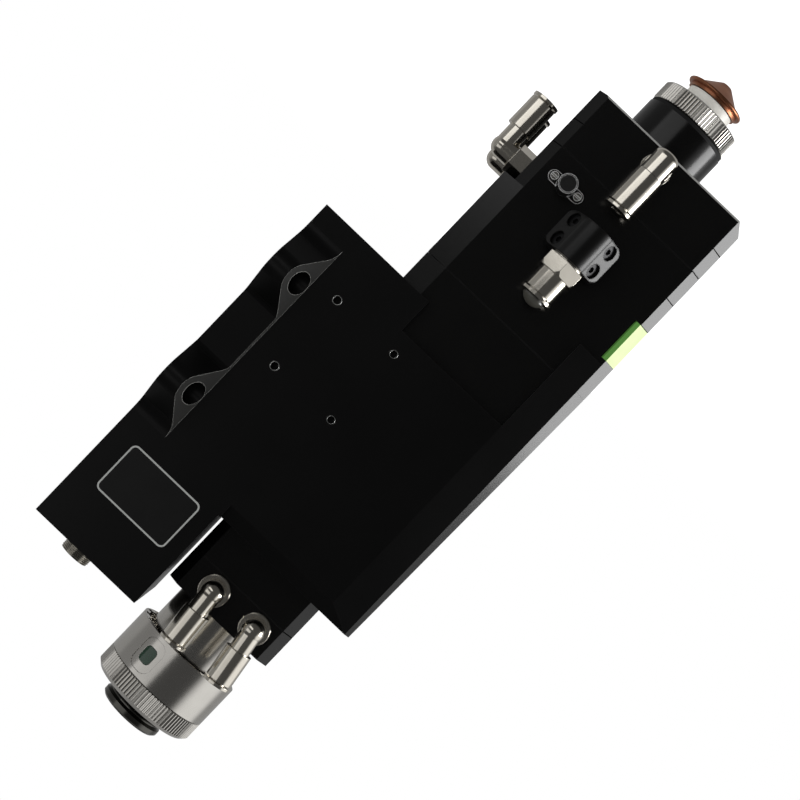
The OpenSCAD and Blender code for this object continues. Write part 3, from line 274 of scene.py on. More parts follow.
@dataclass(frozen=True)
class Finish:
    """A worked surface: two close colours, a roughness that wanders, and fine marks.

    Sizes are in millimetres of the real surface.
    """

    name: str
    colour: str
    second: str
    roughness: float
    wander: float
    patch_mm: float
    mark_mm: float
    mark_depth: float
    lay: Lay = Lay.BLASTED
    metallic: float = 0.0
    ior: float = 1.5
    specular: float = 0.5
    coat: float = 0.0
    # Colour and width of a painted highlight on sharp edges
    edge: str | None = None
    edge_mm: float = 0.35
    # Faces of one direction painted lighter, with a painted highlight on their edges
    painted_lit_faces: PaintedLitFaces | None = None
    soft_mm: float = 0.0
    seams_mm: tuple[float, ...] = ()
    left_seams_mm: tuple[float, ...] = ()

    def make(self) -> bpy.types.Material:
        """Build the finish as a node material."""
        material, tree = fresh_tree(self.name)
        place = add_node(tree, "ShaderNodeTexCoord", {}, {}).outputs["Object"]
        patches = grain(tree, place, self.patch_mm, PATCH_DETAIL)
        tone = blend(tree, patches, self.colour, self.second)
        levels = (self.roughness - self.wander, self.roughness + self.wander)
        eased = {}
        if self.soft_mm:
            settings = {"samples": EDGE_SAMPLES, "Radius": self.soft_mm * MM}
            eased["Normal"] = add_node(tree, "ShaderNodeBevel", settings, {}).outputs[0]
        marked = add_node(
            tree,
            "ShaderNodeBump",
            {"Strength": MARK_STRENGTH, "Distance": self.mark_depth * MM},
            {"Height": self.marks(tree, place)} | eased,
        ).outputs[0]
        links = {
            "Roughness": rescale(tree, patches, WHOLE, levels),
            "Base Color": self.edged(tree, tone),
            "Normal": marked,
        }
        settings = {"Metallic": self.metallic, "Coat Weight": self.coat, "Specular IOR Level": self.specular}
        if self.metallic < METAL:
            settings["IOR"] = self.ior
        surface = add_node(tree, "ShaderNodeBsdfPrincipled", settings, links).outputs[0]
        for level in self.seams_mm + self.left_seams_mm:
            surface = self.seamed(tree, place, level, surface)
        add_node(tree, "ShaderNodeOutputMaterial", {}, {"Surface": surface})
        return material

    def seamed(
        self,
        tree: bpy.types.NodeTree,
        place: bpy.types.NodeSocket,
        level: float,
        surface: bpy.types.NodeSocket,
    ) -> bpy.types.NodeSocket:
        """Draw a dark joint line at one level of the faces that point left, or to both sides.

        Args:
            tree: Node tree of the finish.
            place: Object coordinates.
            level: Height of the line in millimetres.
            surface: Shader beside the line.

        Returns:
            The shader with its line.
        """
        height = add_node(tree, "ShaderNodeSeparateXYZ", {}, {0: place}).outputs[2]
        line = compute(tree, "COMPARE", height, level * MM, SEAM_HALF)
        normal = add_node(tree, "ShaderNodeTexCoord", {}, {}).outputs["Normal"]
        sideways = add_node(tree, "ShaderNodeSeparateXYZ", {}, {0: normal}).outputs[0]
        way = "ABSOLUTE" if level in self.seams_mm else "MULTIPLY"
        sided = compute(tree, "GREATER_THAN", compute(tree, way, sideways, -1.0), SEAM_SIDE)
        share = compute(tree, "MULTIPLY", line, sided)
        gap = add_node(tree, "ShaderNodeBsdfDiffuse", {"Color": linear(SEAM_TONE)}, {}).outputs[0]
        return add_node(tree, "ShaderNodeMixShader", {}, {0: share, 1: surface, 2: gap}).outputs[0]

    def edged(self, tree: bpy.types.NodeTree, tone: bpy.types.NodeSocket) -> bpy.types.NodeSocket:
        """Paint a highlight on sharp edges.

        Args:
            tree: Node tree of the finish.
            tone: Colour away from the edges.

        Returns:
            The colour with its edges.
        """
        if self.edge is None:
            return tone
        settings = {"samples": EDGE_SAMPLES, "Radius": self.edge_mm * MM}
        rounded = add_node(tree, "ShaderNodeBevel", settings, {}).outputs[0]
        flat = add_node(tree, "ShaderNodeNewGeometry", {}, {}).outputs["Normal"]
        share = rescale(tree, agreement(tree, rounded, flat), EDGE_SPAN, WHOLE)
        tone = blend(tree, share, tone, self.edge)
        return tone if self.painted_lit_faces is None else self.paint_lit_faces(tree, tone, share)

    def paint_lit_faces(
        self, tree: bpy.types.NodeTree, tone: bpy.types.NodeSocket, share: bpy.types.NodeSocket
    ) -> bpy.types.NodeSocket:
        """Paint light on the faces of one direction, and a painted highlight on their edges.

        Args:
            tree: Node tree of the finish.
            tone: Colour of the other faces.
            share: Nearness of a sharp edge, from 0 to 1.

        Returns:
            The colour with its painted lit faces.
        """
        normal = add_node(tree, "ShaderNodeTexCoord", {}, {}).outputs["Normal"]
        faced = rescale(tree, agreement(tree, normal, self.painted_lit_faces.facing), LIT_FACE_SPAN, WHOLE)
        return blend(tree, faced, tone, blend(tree, share, self.painted_lit_faces.face, self.painted_lit_faces.edge))

    def marks(self, tree: bpy.types.NodeTree, place: bpy.types.NodeSocket) -> bpy.types.NodeSocket:
        """Height of the fine marks, by their lay.

        Args:
            tree: Node tree of the finish.
            place: Object coordinates.

        Returns:
            A height from 0 to 1.
        """
        if self.lay is Lay.TURNED:
            settings = {"operation": "SUBTRACT", 1: BEAM}
            about = add_node(tree, "ShaderNodeVectorMath", settings, {0: place}).outputs[0]
            parts = add_node(tree, "ShaderNodeSeparateXYZ", {}, {0: about}).outputs
            level = add_node(tree, "ShaderNodeCombineXYZ", {}, {0: parts[0], 1: parts[1]}).outputs[0]
            radius = add_node(
                tree, "ShaderNodeVectorMath", {"operation": "LENGTH"}, {0: level}
            ).outputs["Value"]
            place = add_node(tree, "ShaderNodeCombineXYZ", {}, {0: radius, 2: parts[2]}).outputs[0]
        return grain(tree, place, self.mark_mm, MARK_DETAIL)


@dataclass(frozen=True)
class Glass:
    """Polished optical glass with a thin tint from its coating."""

    name: str
    tint: str
    second: str
    roughness: float
    transmission: float
    ior: float = 1.46
    coat: float = 0.3
    drift_mm: float = 9.0

    def make(self) -> bpy.types.Material:
        """Build the glass as a node material."""
        material, tree = fresh_tree(self.name)
        place = add_node(tree, "ShaderNodeTexCoord", {}, {}).outputs["Object"]
        tone = blend(tree, grain(tree, place, self.drift_mm, DRIFT_DETAIL), self.tint, self.second)
        shader = add_node(
            tree,
            "ShaderNodeBsdfPrincipled",
            {
                "Roughness": self.roughness,
                "Transmission Weight": self.transmission,
                "IOR": self.ior,
                "Coat Weight": self.coat,
            },
            {"Base Color": tone},
        )
        add_node(tree, "ShaderNodeOutputMaterial", {}, {"Surface": shader.outputs[0]})
        return material


@dataclass(frozen=True)
class LitLens:
    """Clear green plastic over a lamp: pale where it shines out, deep green on its thin front lip."""

    name: str
    deep: str
    glow: str
    strength: float
    roughness: float = 0.3
    specular: float = 0.1
    drift_mm: float = 6.0
    drift: tuple[float, float] = (0.86, 1.1)
    # Sideways part of the normal: where the pale side begins, and where it is full
    side_span: tuple[float, float] = (-0.2, -0.6)

    def make(self) -> bpy.types.Material:
        """Build the lit plastic as a node material."""
        material, tree = fresh_tree(self.name)
        normal = add_node(tree, "ShaderNodeNewGeometry", {}, {}).outputs["Normal"]
        sideways = add_node(tree, "ShaderNodeSeparateXYZ", {}, {0: normal}).outputs[0]
        glow = blend(tree, rescale(tree, sideways, self.side_span, WHOLE), self.deep, self.glow)
        place = add_node(tree, "ShaderNodeTexCoord", {}, {}).outputs["Object"]
        shine = rescale(tree, grain(tree, place, self.drift_mm, DRIFT_DETAIL), WHOLE, self.drift)
        lit = add_node(
            tree, "ShaderNodeVectorMath", {"operation": "SCALE"}, {0: glow, "Scale": shine}
        ).outputs[0]
        shader = add_node(
            tree,
            "ShaderNodeBsdfPrincipled",
            {
                "Base Color": linear(self.deep),
                "Roughness": self.roughness,
                "Specular IOR Level": self.specular,
                "Emission Strength": self.strength,
            },
            {"Emission Color": lit},
        )
        add_node(tree, "ShaderNodeOutputMaterial", {}, {"Surface": shader.outputs[0]})
        return material


# Each material slot of the record with its finish
FINISHES: dict[str, Finish | Glass | LitLens] = {
    # Bead-blasted, black anodised aluminium: an even black with a fine grit, dark joint lines, and a faint
    # painted highlight on its sharp edges
    "anodised_black": Finish(
        "black_anodised_aluminium", "#060606", "#090908", 0.19, 0.03, 22.0, 0.5, 0.03,
        specular=0.35, edge="#1c1c1c", seams_mm=(-136.7, -124.4),
        left_seams_mm=(-109.5, -94.6, 94.2),
    ),
    # Black coated casting: a deeper and duller black than the column, with painted light on the lugs' inner
    # faces, which turn to the side lamp, a painted highlight on their edges, and a faint one on its other
    # sharp edges
    "housing_black": Finish(
        "black_coated_casting", "#030303", "#060606", 0.3, 0.03, 30.0, 0.7, 0.02,
        specular=0.28, edge="#141414", painted_lit_faces=PaintedLitFaces((-0.855, -0.519, 0.0), "#262625", "#b4b4b0"),
    ),
    # Nickel-plated brass: warm, bright, a little uneven
    "nickel": Finish(
        "nickel_plated_brass", "#e6e1d6", "#d6d0c4", 0.15, 0.03, 7.0, 0.6, 0.008, metallic=1.0, soft_mm=0.35
    ),
    # Turned stainless steel with fine rings
    "satin_steel": Finish(
        "turned_stainless_steel", "#d2cfc9", "#c2bfb9", 0.2, 0.04, 9.0, 0.45, 0.02,
        lay=Lay.TURNED, metallic=1.0,
    ),
    # Bright steel of screws and rods
    "steel": Finish("bright_steel", "#a6a7a9", "#97989a", 0.24, 0.05, 4.0, 0.4, 0.01, metallic=1.0),
    # Bare milled aluminium
    "bare_aluminium": Finish(
        "milled_aluminium", "#a3a6a9", "#95989b", 0.34, 0.06, 8.0, 0.5, 0.02, metallic=1.0
    ),
    # Turned copper with a light tarnish
    "copper": Finish(
        "turned_copper", "#c08767", "#96593c", 0.33, 0.06, 5.0, 0.4, 0.03, lay=Lay.TURNED, metallic=1.0
    ),
    # Fired technical ceramic: off-white, faintly speckled
    "white_ceramic": Finish(
        "fired_white_ceramic", "#efede6", "#e4e1d8", 0.38, 0.06, 3.0, 0.4, 0.01, ior=1.6
    ),
    "optics": Glass("coated_silica", "#eef6f7", "#dcecf3", 0.02, 1.0),
    "green_glass": Glass("green_sight_glass", "#1c4530", "#12321f", 0.08, 0.35, 1.5),
    "light": LitLens("lit_green_plastic", "#3f662e", "#f0f8c0", 0.9),
    # Moulded nitrile: dull black
    "seal_rubber": Finish("black_nitrile", "#101010", "#181818", 0.7, 0.05, 3.0, 0.3, 0.02, specular=0.3),
    # Moulded silicone: soft orange
    "orange_seal": Finish("orange_silicone", "#c06a2c", "#b05f26", 0.55, 0.05, 3.0, 0.3, 0.02),
    # Moulded grey plastic of the shipping plug
    "plug_plastic": Finish("grey_polyethylene", "#4a4943", "#3d3c37", 0.3, 0.05, 3.0, 0.4, 0.015, coat=0.4),
    # Black lacquered motor casing
    "motor_black": Finish("black_lacquer", "#2c2d2f", "#353638", 0.45, 0.05, 8.0, 0.5, 0.02),
    # Blackened steel of the screws in the gas inlet block
    "dark_steel": Finish("blackened_steel", "#1c1c1d", "#262627", 0.35, 0.05, 3.0, 0.3, 0.01, metallic=0.8),
}

# Nodes whose finish differs a little from that of their slot
NODE_FINISHES: dict[str, Finish] = {
    # The foot's bevel, which faces the front and the nozzle, is painted light grey: painted light, where the
    # lamps fall on it
    "nozzle_module": replace(
        FINISHES["anodised_black"],
        name="black_anodised_foot",
        painted_lit_faces=PaintedLitFaces((0.0, -0.707, -0.707), "#8f8f8c", "#8f8f8c"),
    ),
    # Duller than the column, with eased edges, and without its joint lines
    "gas_block": replace(
        FINISHES["anodised_black"],
        name="satin_anodised_block",
        roughness=0.3,
        seams_mm=(),
        left_seams_mm=(),
        soft_mm=0.8,
    ),
    # Blackened flange with a painted white highlight on its edges
    "sensor_socket": replace(
        FINISHES["nickel"],
        name="black_nickel",
        colour="#141413",
        second="#1c1c1a",
        metallic=0.0,
        edge="#ffffff",
        edge_mm=0.45,
    ),
    # Dark screws with a painted white highlight on their rims
    "sensor_socket_screws": replace(
        FINISHES["steel"],
        name="bright_rimmed_screws",
        colour="#55544f",
        second="#484742",
        metallic=0.0,
        edge="#ffffff",
        edge_mm=0.5,
    ),
    # Turned with eased edges
    "connector_collar": replace(FINISHES["satin_steel"], name="eased_turned_steel", soft_mm=0.25),
    # Darker turned pieces at the ends
    "connector_nose": replace(
        FINISHES["satin_steel"], name="dark_turned_steel", colour="#62615d", second="#504f4b"
    ),
    "drive_socket": replace(FINISHES["nickel"], name="dull_nickel", colour="#8f8b80", second="#7d796f"),
}


def dress_solids() -> None:
    """Give every CAD node the finish of its material slot, or its own."""
    made = {slot: finish.make() for slot, finish in FINISHES.items()}
    own = {node: finish.make() for node, finish in NODE_FINISHES.items()}
    for part in frame["record"]["subparts"]:
        solid = frame["nodes"][part["node"]]
        solid.data.materials.clear()
        solid.data.materials.append(own.get(part["node"], made[part["material_slot"]]))
        LOG.info("dressed %s as %s", part["node"], part["material_slot"])


@dataclass(frozen=True)
class Ramp:
    """Part of the room that is brighter in a mirror: its axis, where it begins and is full, and its level."""

    axis: int
    span: tuple[float, float]
    level: float


@dataclass(frozen=True)
class Lamp:
    """Soft box: its place from the head's middle and its size in metres, and its power in watts."""

    name: str
    place: tuple[float, float, float]
    size: tuple[float, float]
    power: float


@dataclass
class Studio:
    """White room that is mostly dark in a mirror, with one strong side light and two soft front lights."""

    eye: tuple[float, float, float] = (-29.8 * MM, -750.0 * MM, -6.6 * MM)
    right: tuple[float, float, float] = (-0.723, 0.0, -0.691)
    up: tuple[float, float, float] = (0.691, 0.0, -0.723)
    focal: float = 85.1
    sensor: float = 36.0
    nearest: float = 10 * MM
    floor_drop: float = 300 * MM
    floor_size: float = 12.0
    floor_tone: str = "#f2f2f2"
    floor_glow: float = 0.72
    # Level of the room for matt surfaces, and of its dark side in a mirror
    ambient: float = 0.65
    dark: float = 0.065
    bright: tuple[Ramp, ...] = (
        Ramp(1, (-0.1, 0.4), 0.35),
        Ramp(0, (0.6, 0.9), 0.25),
        Ramp(0, (-0.75, -0.95), 1.0),
    )
    lamps: tuple[Lamp, ...] = (
        Lamp("side_light", (-0.95, 0.0, -0.22), (0.45, 0.42), 5.2),
        Lamp("low_front_light", (0.65, -0.93, -0.33), (1.05, 0.26), 0.95),
        Lamp("high_front_light", (0.65, -0.93, 0.42), (1.05, 0.5), 1.0),
    )

    def camera(self) -> None:
        """Place the camera square to the mounting face, rolled as in the photograph."""
        lens = bpy.data.cameras.new("photo_camera")
        lens.lens = self.focal
        lens.sensor_width = self.sensor
        lens.clip_start = self.nearest
        eye = bpy.data.objects.new("photo_camera", lens)
        bpy.context.scene.collection.objects.link(eye)
        right, up = Vector(self.right).normalized(), Vector(self.up).normalized()
        turn = Matrix((right, up, right.cross(up))).transposed()
        eye.matrix_world = Matrix.Translation(self.eye) @ turn.to_4x4()
        bpy.context.scene.camera = eye
        bpy.context.scene.view_settings.view_transform = "Standard"

    def world(self) -> None:
        """White to the eye and through glass, grey to matt faces, dark in a mirror but for the ramps."""
        world = bpy.data.worlds.new("white_room")
        bpy.context.scene.world = world
        world.use_nodes = True
        tree = world.node_tree
        tree.nodes.clear()
        ray = add_node(tree, "ShaderNodeLightPath", {}, {}).outputs
        place = add_node(tree, "ShaderNodeTexCoord", {}, {}).outputs["Generated"]
        parts = add_node(tree, "ShaderNodeSeparateXYZ", {}, {0: place}).outputs
        shares = [
            rescale(tree, parts[ramp.axis], ramp.span, (self.dark, ramp.level), "SMOOTHSTEP")
            for ramp in self.bright
        ]
        mirrored = shares[0]
        for share in shares[1:]:
            mirrored = compute(tree, "MAXIMUM", mirrored, share)
        level = add_node(
            tree, "ShaderNodeMix", {2: self.ambient}, {0: ray["Is Glossy Ray"], 3: mirrored}
        ).outputs[0]
        seen = compute(tree, "MAXIMUM", ray["Is Camera Ray"], ray["Is Transmission Ray"])
        strength = add_node(tree, "ShaderNodeMix", {3: 1.0}, {0: seen, 2: level}).outputs[0]
        sky = add_node(
            tree, "ShaderNodeBackground", {"Color": linear("#ffffff")}, {"Strength": strength}
        )
        add_node(tree, "ShaderNodeOutputWorld", {}, {"Surface": sky.outputs[0]})

    def floor(self) -> None:
        """Lay a pale floor far below the nozzle, which mirrors don't see."""
        bpy.ops.object.select_all(action="DESELECT")
        height = CAD_BOX[0].z - self.floor_drop
        bpy.ops.mesh.primitive_plane_add(size=self.floor_size, location=(0.0, 0.0, height))
        floor = bpy.context.object
        floor.name = "pale_floor"
        bpy.ops.object.transform_apply()
        material, tree = fresh_tree("pale_floor")
        seen = add_node(tree, "ShaderNodeLightPath", {}, {}).outputs["Is Camera Ray"]
        shine = compute(tree, "MULTIPLY", seen, self.floor_glow)
        glow = add_node(tree, "ShaderNodeEmission", {}, {"Strength": shine})
        matt = add_node(tree, "ShaderNodeBsdfDiffuse", {"Color": linear(self.floor_tone)}, {})
        both = add_node(tree, "ShaderNodeAddShader", {}, {0: glow.outputs[0], 1: matt.outputs[0]})
        add_node(tree, "ShaderNodeOutputMaterial", {}, {"Surface": both.outputs[0]})
        floor.data.materials.append(material)
        floor.visible_glossy = False

    def lights(self) -> None:
        """Hang the soft boxes, each facing the head."""
        centre = (CAD_BOX[0] + CAD_BOX[1]) / 2
        for soft_box in self.lamps:
            lamp = bpy.data.lights.new(soft_box.name, "AREA")
            lamp.shape = "RECTANGLE"
            lamp.size, lamp.size_y = soft_box.size
            lamp.energy = soft_box.power
            box = bpy.data.objects.new(soft_box.name, lamp)
            bpy.context.scene.collection.objects.link(box)
            box.location = Vector(soft_box.place) + centre
            box.rotation_mode = "QUATERNION"
            box.rotation_quaternion = (centre - box.location).to_track_quat("-Z", "Y")
            box.visible_camera = False

    def build(self) -> None:
        """Set up camera, world, floor and lamps."""
        self.camera()
        self.world()
        self.floor()
        self.lights()
        LOG.info("studio ready")


# Edges flatter than this are shaded smooth
SMOOTH_ANGLE = math.radians(35)
# Share of a whole normal or height that counts as facing an axis, or as lying at the top
NEARLY = 0.99
# Steps round the turned pieces, and round their sections
RIM_STEPS = {"major_segments": 48, "minor_segments": 16}
RIDGE_STEPS = {"major_segments": 56, "minor_segments": 10}
DISC_STEPS = 48
PIN_STEPS = 16


def start(kind: str, **sizes: object) -> bpy.types.Object:
    """Add a primitive as the start of a piece, with nothing else selected.

    Args:
        kind: Name of the primitive.
        sizes: Settings of its operator.

    Returns:
        The new object.
    """
    bpy.ops.object.select_all(action="DESELECT")
    getattr(bpy.ops.mesh, f"primitive_{kind}_add")(**sizes)
    return bpy.context.object


def pick_faces(piece: bpy.types.Object, test: Callable[[bpy.types.MeshPolygon], bool]) -> None:
    """Leave the piece in edit mode with some faces selected.

    Args:
        piece: Active object.
        test: Tells which faces are taken.
    """
    bpy.context.tool_settings.mesh_select_mode = (False, False, True)
    bpy.ops.object.mode_set(mode="EDIT")
    bpy.ops.mesh.select_all(action="DESELECT")
    bpy.ops.object.mode_set(mode="OBJECT")
    for face in piece.data.polygons:
        face.select = test(face)
    bpy.ops.object.mode_set(mode="EDIT")


def pick_edges(piece: bpy.types.Object, test: Callable[[Vector, Vector], bool]) -> None:
    """Leave the piece in edit mode with some edges selected.

    Args:
        piece: Active object.
        test: Tells from its two ends which edges are taken.
    """
    bpy.context.tool_settings.mesh_select_mode = (False, True, False)
    bpy.ops.object.mode_set(mode="EDIT")
    bpy.ops.mesh.select_all(action="DESELECT")
    bpy.ops.object.mode_set(mode="OBJECT")
    points = piece.data.vertices
    for edge in piece.data.edges:
        edge.select = test(*(points[i].co for i in edge.vertices))
    bpy.ops.object.mode_set(mode="EDIT")


def pick_top_edges(piece: bpy.types.Object, height: float) -> None:
    """Leave a piece that stands on its middle in edit mode, with the edges of its top selected.

    Args:
        piece: Active object.
        height: Its whole height.
    """
    limit = NEARLY * height / 2
    pick_edges(piece, lambda a, b: min(a.z, b.z) > limit)


def paint_picked(piece: bpy.types.Object, finish: Finish) -> None:
    """Give the selected faces a finish of their own.

    Args:
        piece: Active object in edit mode.
        finish: Finish of those faces.
    """
    piece.data.materials.append(finish.make())
    piece.active_material_index = len(piece.data.materials) - 1
    bpy.ops.object.material_slot_assign()


def settle(piece: bpy.types.Object, name: str, body: str = "head") -> None:
    """Put a finished piece on its body.

    Args:
        piece: Active object.
        name: Name of the piece.
        body: Body that it moves with.
    """
    if bpy.context.object.mode != "OBJECT":
        bpy.ops.object.mode_set(mode="OBJECT")
    bpy.ops.object.transform_apply(location=True, rotation=True, scale=True)
    bpy.ops.object.shade_smooth_by_angle(angle=SMOOTH_ANGLE)
    piece.name = name
    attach(piece, body)
    LOG.info("made %s on %s", name, body)


def copies(piece: bpy.types.Object, steps: list[Vector]) -> bpy.types.Object:
    """Repeat a piece at further places and join all into one.

    Args:
        piece: Active object, in its first place.
        steps: Offsets of the copies from that place.

    Returns:
        The joined piece.
    """
    made = [piece]
    for step in steps:
        bpy.ops.object.select_all(action="DESELECT")
        piece.select_set(True)
        bpy.context.view_layer.objects.active = piece
        bpy.ops.object.duplicate()
        bpy.context.object.location = piece.location + step
        made.append(bpy.context.object)
    for each in made:
        each.select_set(True)
    bpy.context.view_layer.objects.active = piece
    bpy.ops.object.join()
    return piece


@dataclass
class NamePlate:
    """Bare name plate on the front plate: a dark panel in a thin pale border."""

    width: float = 36.7 * MM
    height: float = 23.5 * MM
    thick: float = 0.4 * MM
    corner: float = 2.6 * MM
    corner_steps: int = 8
    border: float = 0.7 * MM
    sunk: float = 0.08 * MM
    middle: tuple[float, float, float] = (15.95 * MM, 0.0, 89.95 * MM)
    panel: Finish = Finish(
        "printed_black_foil", "#0b0b0b", "#101010", 0.33, 0.04, 9.0, 0.5, 0.01, specular=0.35
    )
    rim: Finish = Finish("printed_pale_line", "#a9aba8", "#989a97", 0.45, 0.04, 4.0, 0.4, 0.01)

    def build(self) -> None:
        """Round a slab's corners, then inset and sink its panel."""
        place = (self.middle[0], self.middle[1] - self.thick / 2, self.middle[2])
        plate = start("cube", size=1.0, location=place)
        plate.dimensions = (self.width, self.thick, self.height)
        bpy.ops.object.transform_apply(location=False, rotation=False, scale=True)
        plate.data.materials.append(self.rim.make())
        pick_edges(plate, lambda a, b: abs(a.y - b.y) > self.thick / 2)
        bpy.ops.mesh.bevel(offset=self.corner, segments=self.corner_steps)
        pick_faces(plate, lambda face: face.normal.y < -NEARLY)
        bpy.ops.mesh.inset(thickness=self.border)
        bpy.ops.mesh.extrude_region_move(TRANSFORM_OT_translate={"value": (0.0, self.sunk, 0.0)})
        paint_picked(plate, self.panel)
        settle(plate, "name_plate")


@dataclass
class HoleRims:
    """Bright rounded rims round the four mounting holes."""

    spacing: tuple[float, float] = (31.0 * MM, 36.0 * MM)
    rims: tuple[tuple[float, float], ...] = ((1.8 * MM, 0.27 * MM), (1.62 * MM, 0.2 * MM))
    finish: Finish = Finish(
        "rolled_steel_rim", "#b7b8b6", "#a3a4a2", 0.25, 0.05, 2.0, 0.3, 0.01, metallic=1.0
    )

    def build(self) -> None:
        """Make the rims of the right pair and the finer ones of the left pair."""
        across = self.spacing[0] / 2
        for side, place, rim in zip(("right", "left"), (across, -across), self.rims):
            self.build_pair(side, place, *rim)

    def build_pair(self, side: str, place: float, radius: float, bead: float) -> None:
        """Halve a bead ring on the plate, and set one at each hole of a side.

        Args:
            side: Name of the side.
            place: Its place across the plate.
            radius: Middle radius of its rims.
            bead: Radius of a rim's section.
        """
        up = self.spacing[1] / 2
        rim = start(
            "torus",
            major_radius=radius,
            minor_radius=bead,
            rotation=(math.pi / 2, 0.0, 0.0),
            location=(place, 0.0, up),
            **RIM_STEPS,
        )
        bpy.ops.object.transform_apply(location=False, rotation=True, scale=False)
        bpy.ops.object.mode_set(mode="EDIT")
        bpy.ops.mesh.select_all(action="SELECT")
        bpy.ops.mesh.bisect(
            plane_co=(0.0, 0.0, 0.0), plane_no=(0.0, 1.0, 0.0), use_fill=False, clear_outer=True
        )
        bpy.ops.object.mode_set(mode="OBJECT")
        rim.data.materials.append(self.finish.make())
        settle(copies(rim, [Vector((0.0, 0.0, -2 * up))]), f"{side}_mounting_hole_rims")


@dataclass
class SocketInsert:
    """Black insulator in a plug socket, with a ring of contact pins where it has them."""

    name: str
    middle: tuple[float, float, float]
    outward: tuple[float, float, float]
    radius: float
    depth: float
    pins: int = 0
    pin_r: float = 0.5 * MM
    edge: float = 0.3 * MM
    edge_steps: int = 3
    # Shares of the radius: width of the lip, and radius of the ring of pins
    lip_share: float = 0.15
    ring_share: float = 0.55
    # Height of a pin as a share of the depth, and its rounding as a share of its radius
    pin_share: float = 0.8
    round_share: float = 0.6
    round_steps: int = 4
    body: Finish = Finish("black_moulded_nylon", "#0d0d0d", "#131313", 0.5, 0.05, 2.0, 0.3, 0.01)
    metal: Finish = Finish("plated_pins", "#c7b486", "#b7a374", 0.22, 0.05, 1.0, 0.2, 0.005, metallic=1.0)

    def build(self) -> None:
        """Bevel a disc, sink its face, and stand the pins on it."""
        turn = Vector(UP).rotation_difference(Vector(self.outward))
        disc = start("cylinder", vertices=DISC_STEPS, radius=self.radius, depth=self.depth)
        disc.data.materials.append(self.body.make())
        pick_top_edges(disc, self.depth)
        bpy.ops.mesh.bevel(offset=self.edge, segments=self.edge_steps)
        pick_faces(disc, lambda face: face.normal.z > NEARLY)
        bpy.ops.mesh.inset(thickness=self.radius * self.lip_share)
        bpy.ops.mesh.extrude_region_move(TRANSFORM_OT_translate={"value": (0.0, 0.0, -self.edge)})
        bpy.ops.object.mode_set(mode="OBJECT")
        disc.rotation_euler = turn.to_euler()
        disc.location = self.middle
        settle(disc, f"{self.name}_insulator")
        if self.pins:
            self.stand_pins(turn.to_matrix())

    def stand_pins(self, turn: Matrix) -> None:
        """Model one round-ended pin and copy it round the socket.

        Args:
            turn: Turns the socket's own frame into the head's.
        """
        height = self.depth * self.pin_share
        around = self.radius * self.ring_share
        level = self.depth / 2 + height / 2 - self.edge
        angles = [2 * math.pi * i / self.pins for i in range(self.pins)]
        ring = [turn @ Vector((around * math.cos(a), around * math.sin(a), level)) for a in angles]
        pin = start("cylinder", vertices=PIN_STEPS, radius=self.pin_r, depth=height)
        pin.data.materials.append(self.metal.make())
        pick_top_edges(pin, height)
        bpy.ops.mesh.bevel(offset=self.pin_r * self.round_share, segments=self.round_steps)
        bpy.ops.object.mode_set(mode="OBJECT")
        pin.rotation_euler = turn.to_euler()
        bpy.ops.object.transform_apply(location=False, rotation=True, scale=False)
        pin.location = Vector(self.middle) + ring[0]
        settle(copies(pin, [place - ring[0] for place in ring[1:]]), f"{self.name}_pins")


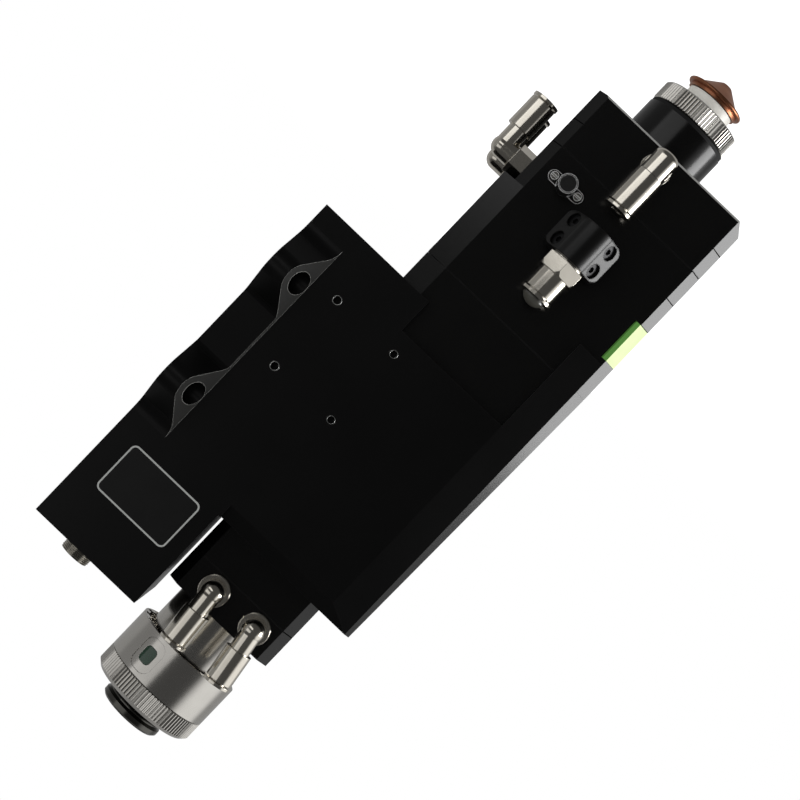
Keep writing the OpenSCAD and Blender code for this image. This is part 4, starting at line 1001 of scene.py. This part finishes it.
@dataclass
class Ridges:
    """Raised rings round a turned piece: thread crests, or the ring of a joint."""

    name: str
    middle: tuple[float, float, float]
    outward: tuple[float, float, float]
    radius: float
    bead: float
    levels: tuple[float, ...]
    slot: str
    body: str = "head"
    flat: float = 0.7

    def build(self) -> None:
        """Flatten one bead ring and copy it along the axis."""
        axis = Vector(self.outward).normalized()
        turn = Vector(UP).rotation_difference(axis)
        bead = start("torus", major_radius=self.radius, minor_radius=self.bead, **RIDGE_STEPS)
        bpy.ops.object.mode_set(mode="EDIT")
        bpy.ops.mesh.select_all(action="SELECT")
        bpy.ops.transform.resize(value=(1.0, 1.0, self.flat))
        bpy.ops.object.mode_set(mode="OBJECT")
        bead.rotation_euler = turn.to_euler()
        bpy.ops.object.transform_apply(location=False, rotation=True, scale=False)
        bead.location = Vector(self.middle) + axis * self.levels[0]
        bead.data.materials.append(FINISHES[self.slot].make())
        steps = [axis * (level - self.levels[0]) for level in self.levels[1:]]
        settle(copies(bead, steps), self.name, self.body)


# Front faces of the column and of the connector block in the head's frame
COLUMN_FACE = 4.5 * MM
BLOCK_FACE = 17.5 * MM
# Middles of the drive socket, and of the right and left water fittings
DRIVE_SOCKET = (23.4 * MM, 32.25 * MM)
WATER_FITTINGS = {"right": -28.75 * MM, "left": -51.25 * MM}
DETAILS = [
    NamePlate(),
    HoleRims(),
    # A real socket has an insulator, but this black one sits far enough out to cover the centre pin: painted
    # shade for the dark inside of the socket
    SocketInsert(
        name="sensor_socket",
        middle=(-18.8 * MM, COLUMN_FACE - 10.85 * MM, -113.6 * MM),
        outward=FRONT,
        radius=3.28 * MM,
        depth=5.0 * MM,
    ),
    SocketInsert(
        name="drive_socket",
        middle=(*DRIVE_SOCKET, 128.6 * MM),
        outward=UP,
        radius=5.48 * MM,
        depth=2.2 * MM,
        pins=6,
    ),
    Ridges(
        name="drive_socket_thread",
        middle=(*DRIVE_SOCKET, 127.5 * MM),
        outward=UP,
        radius=6.45 * MM,
        bead=0.32 * MM,
        levels=tuple(0.5 * MM + 0.8 * MM * i for i in range(6)),
        slot="nickel",
    ),
    Ridges(
        name="cooling_elbow_joint_ring",
        middle=(-40.0 * MM, -4.7 * MM, -138.6 * MM),
        outward=UP,
        radius=5.75 * MM,
        bead=0.3 * MM,
        levels=(0.0,),
        slot="seal_rubber",
        body="cooling_elbow",
    ),
    *(
        Ridges(
            name=f"{side}_water_foot_ridges",
            middle=(across, BLOCK_FACE, 101.4 * MM),
            outward=FRONT,
            radius=6.45 * MM,
            bead=0.3 * MM,
            levels=(0.5 * MM, 1.3 * MM, 2.1 * MM),
            slot="nickel",
        )
        for side, across in WATER_FITTINGS.items()
    ),
]


def main() -> None:
    """Build the studio, dress the solids and add the details."""
    logging.basicConfig(level=logging.INFO)
    Studio().build()
    dress_solids()
    for detail in DETAILS:
        detail.build()


if __name__ == "__main__":
    main()
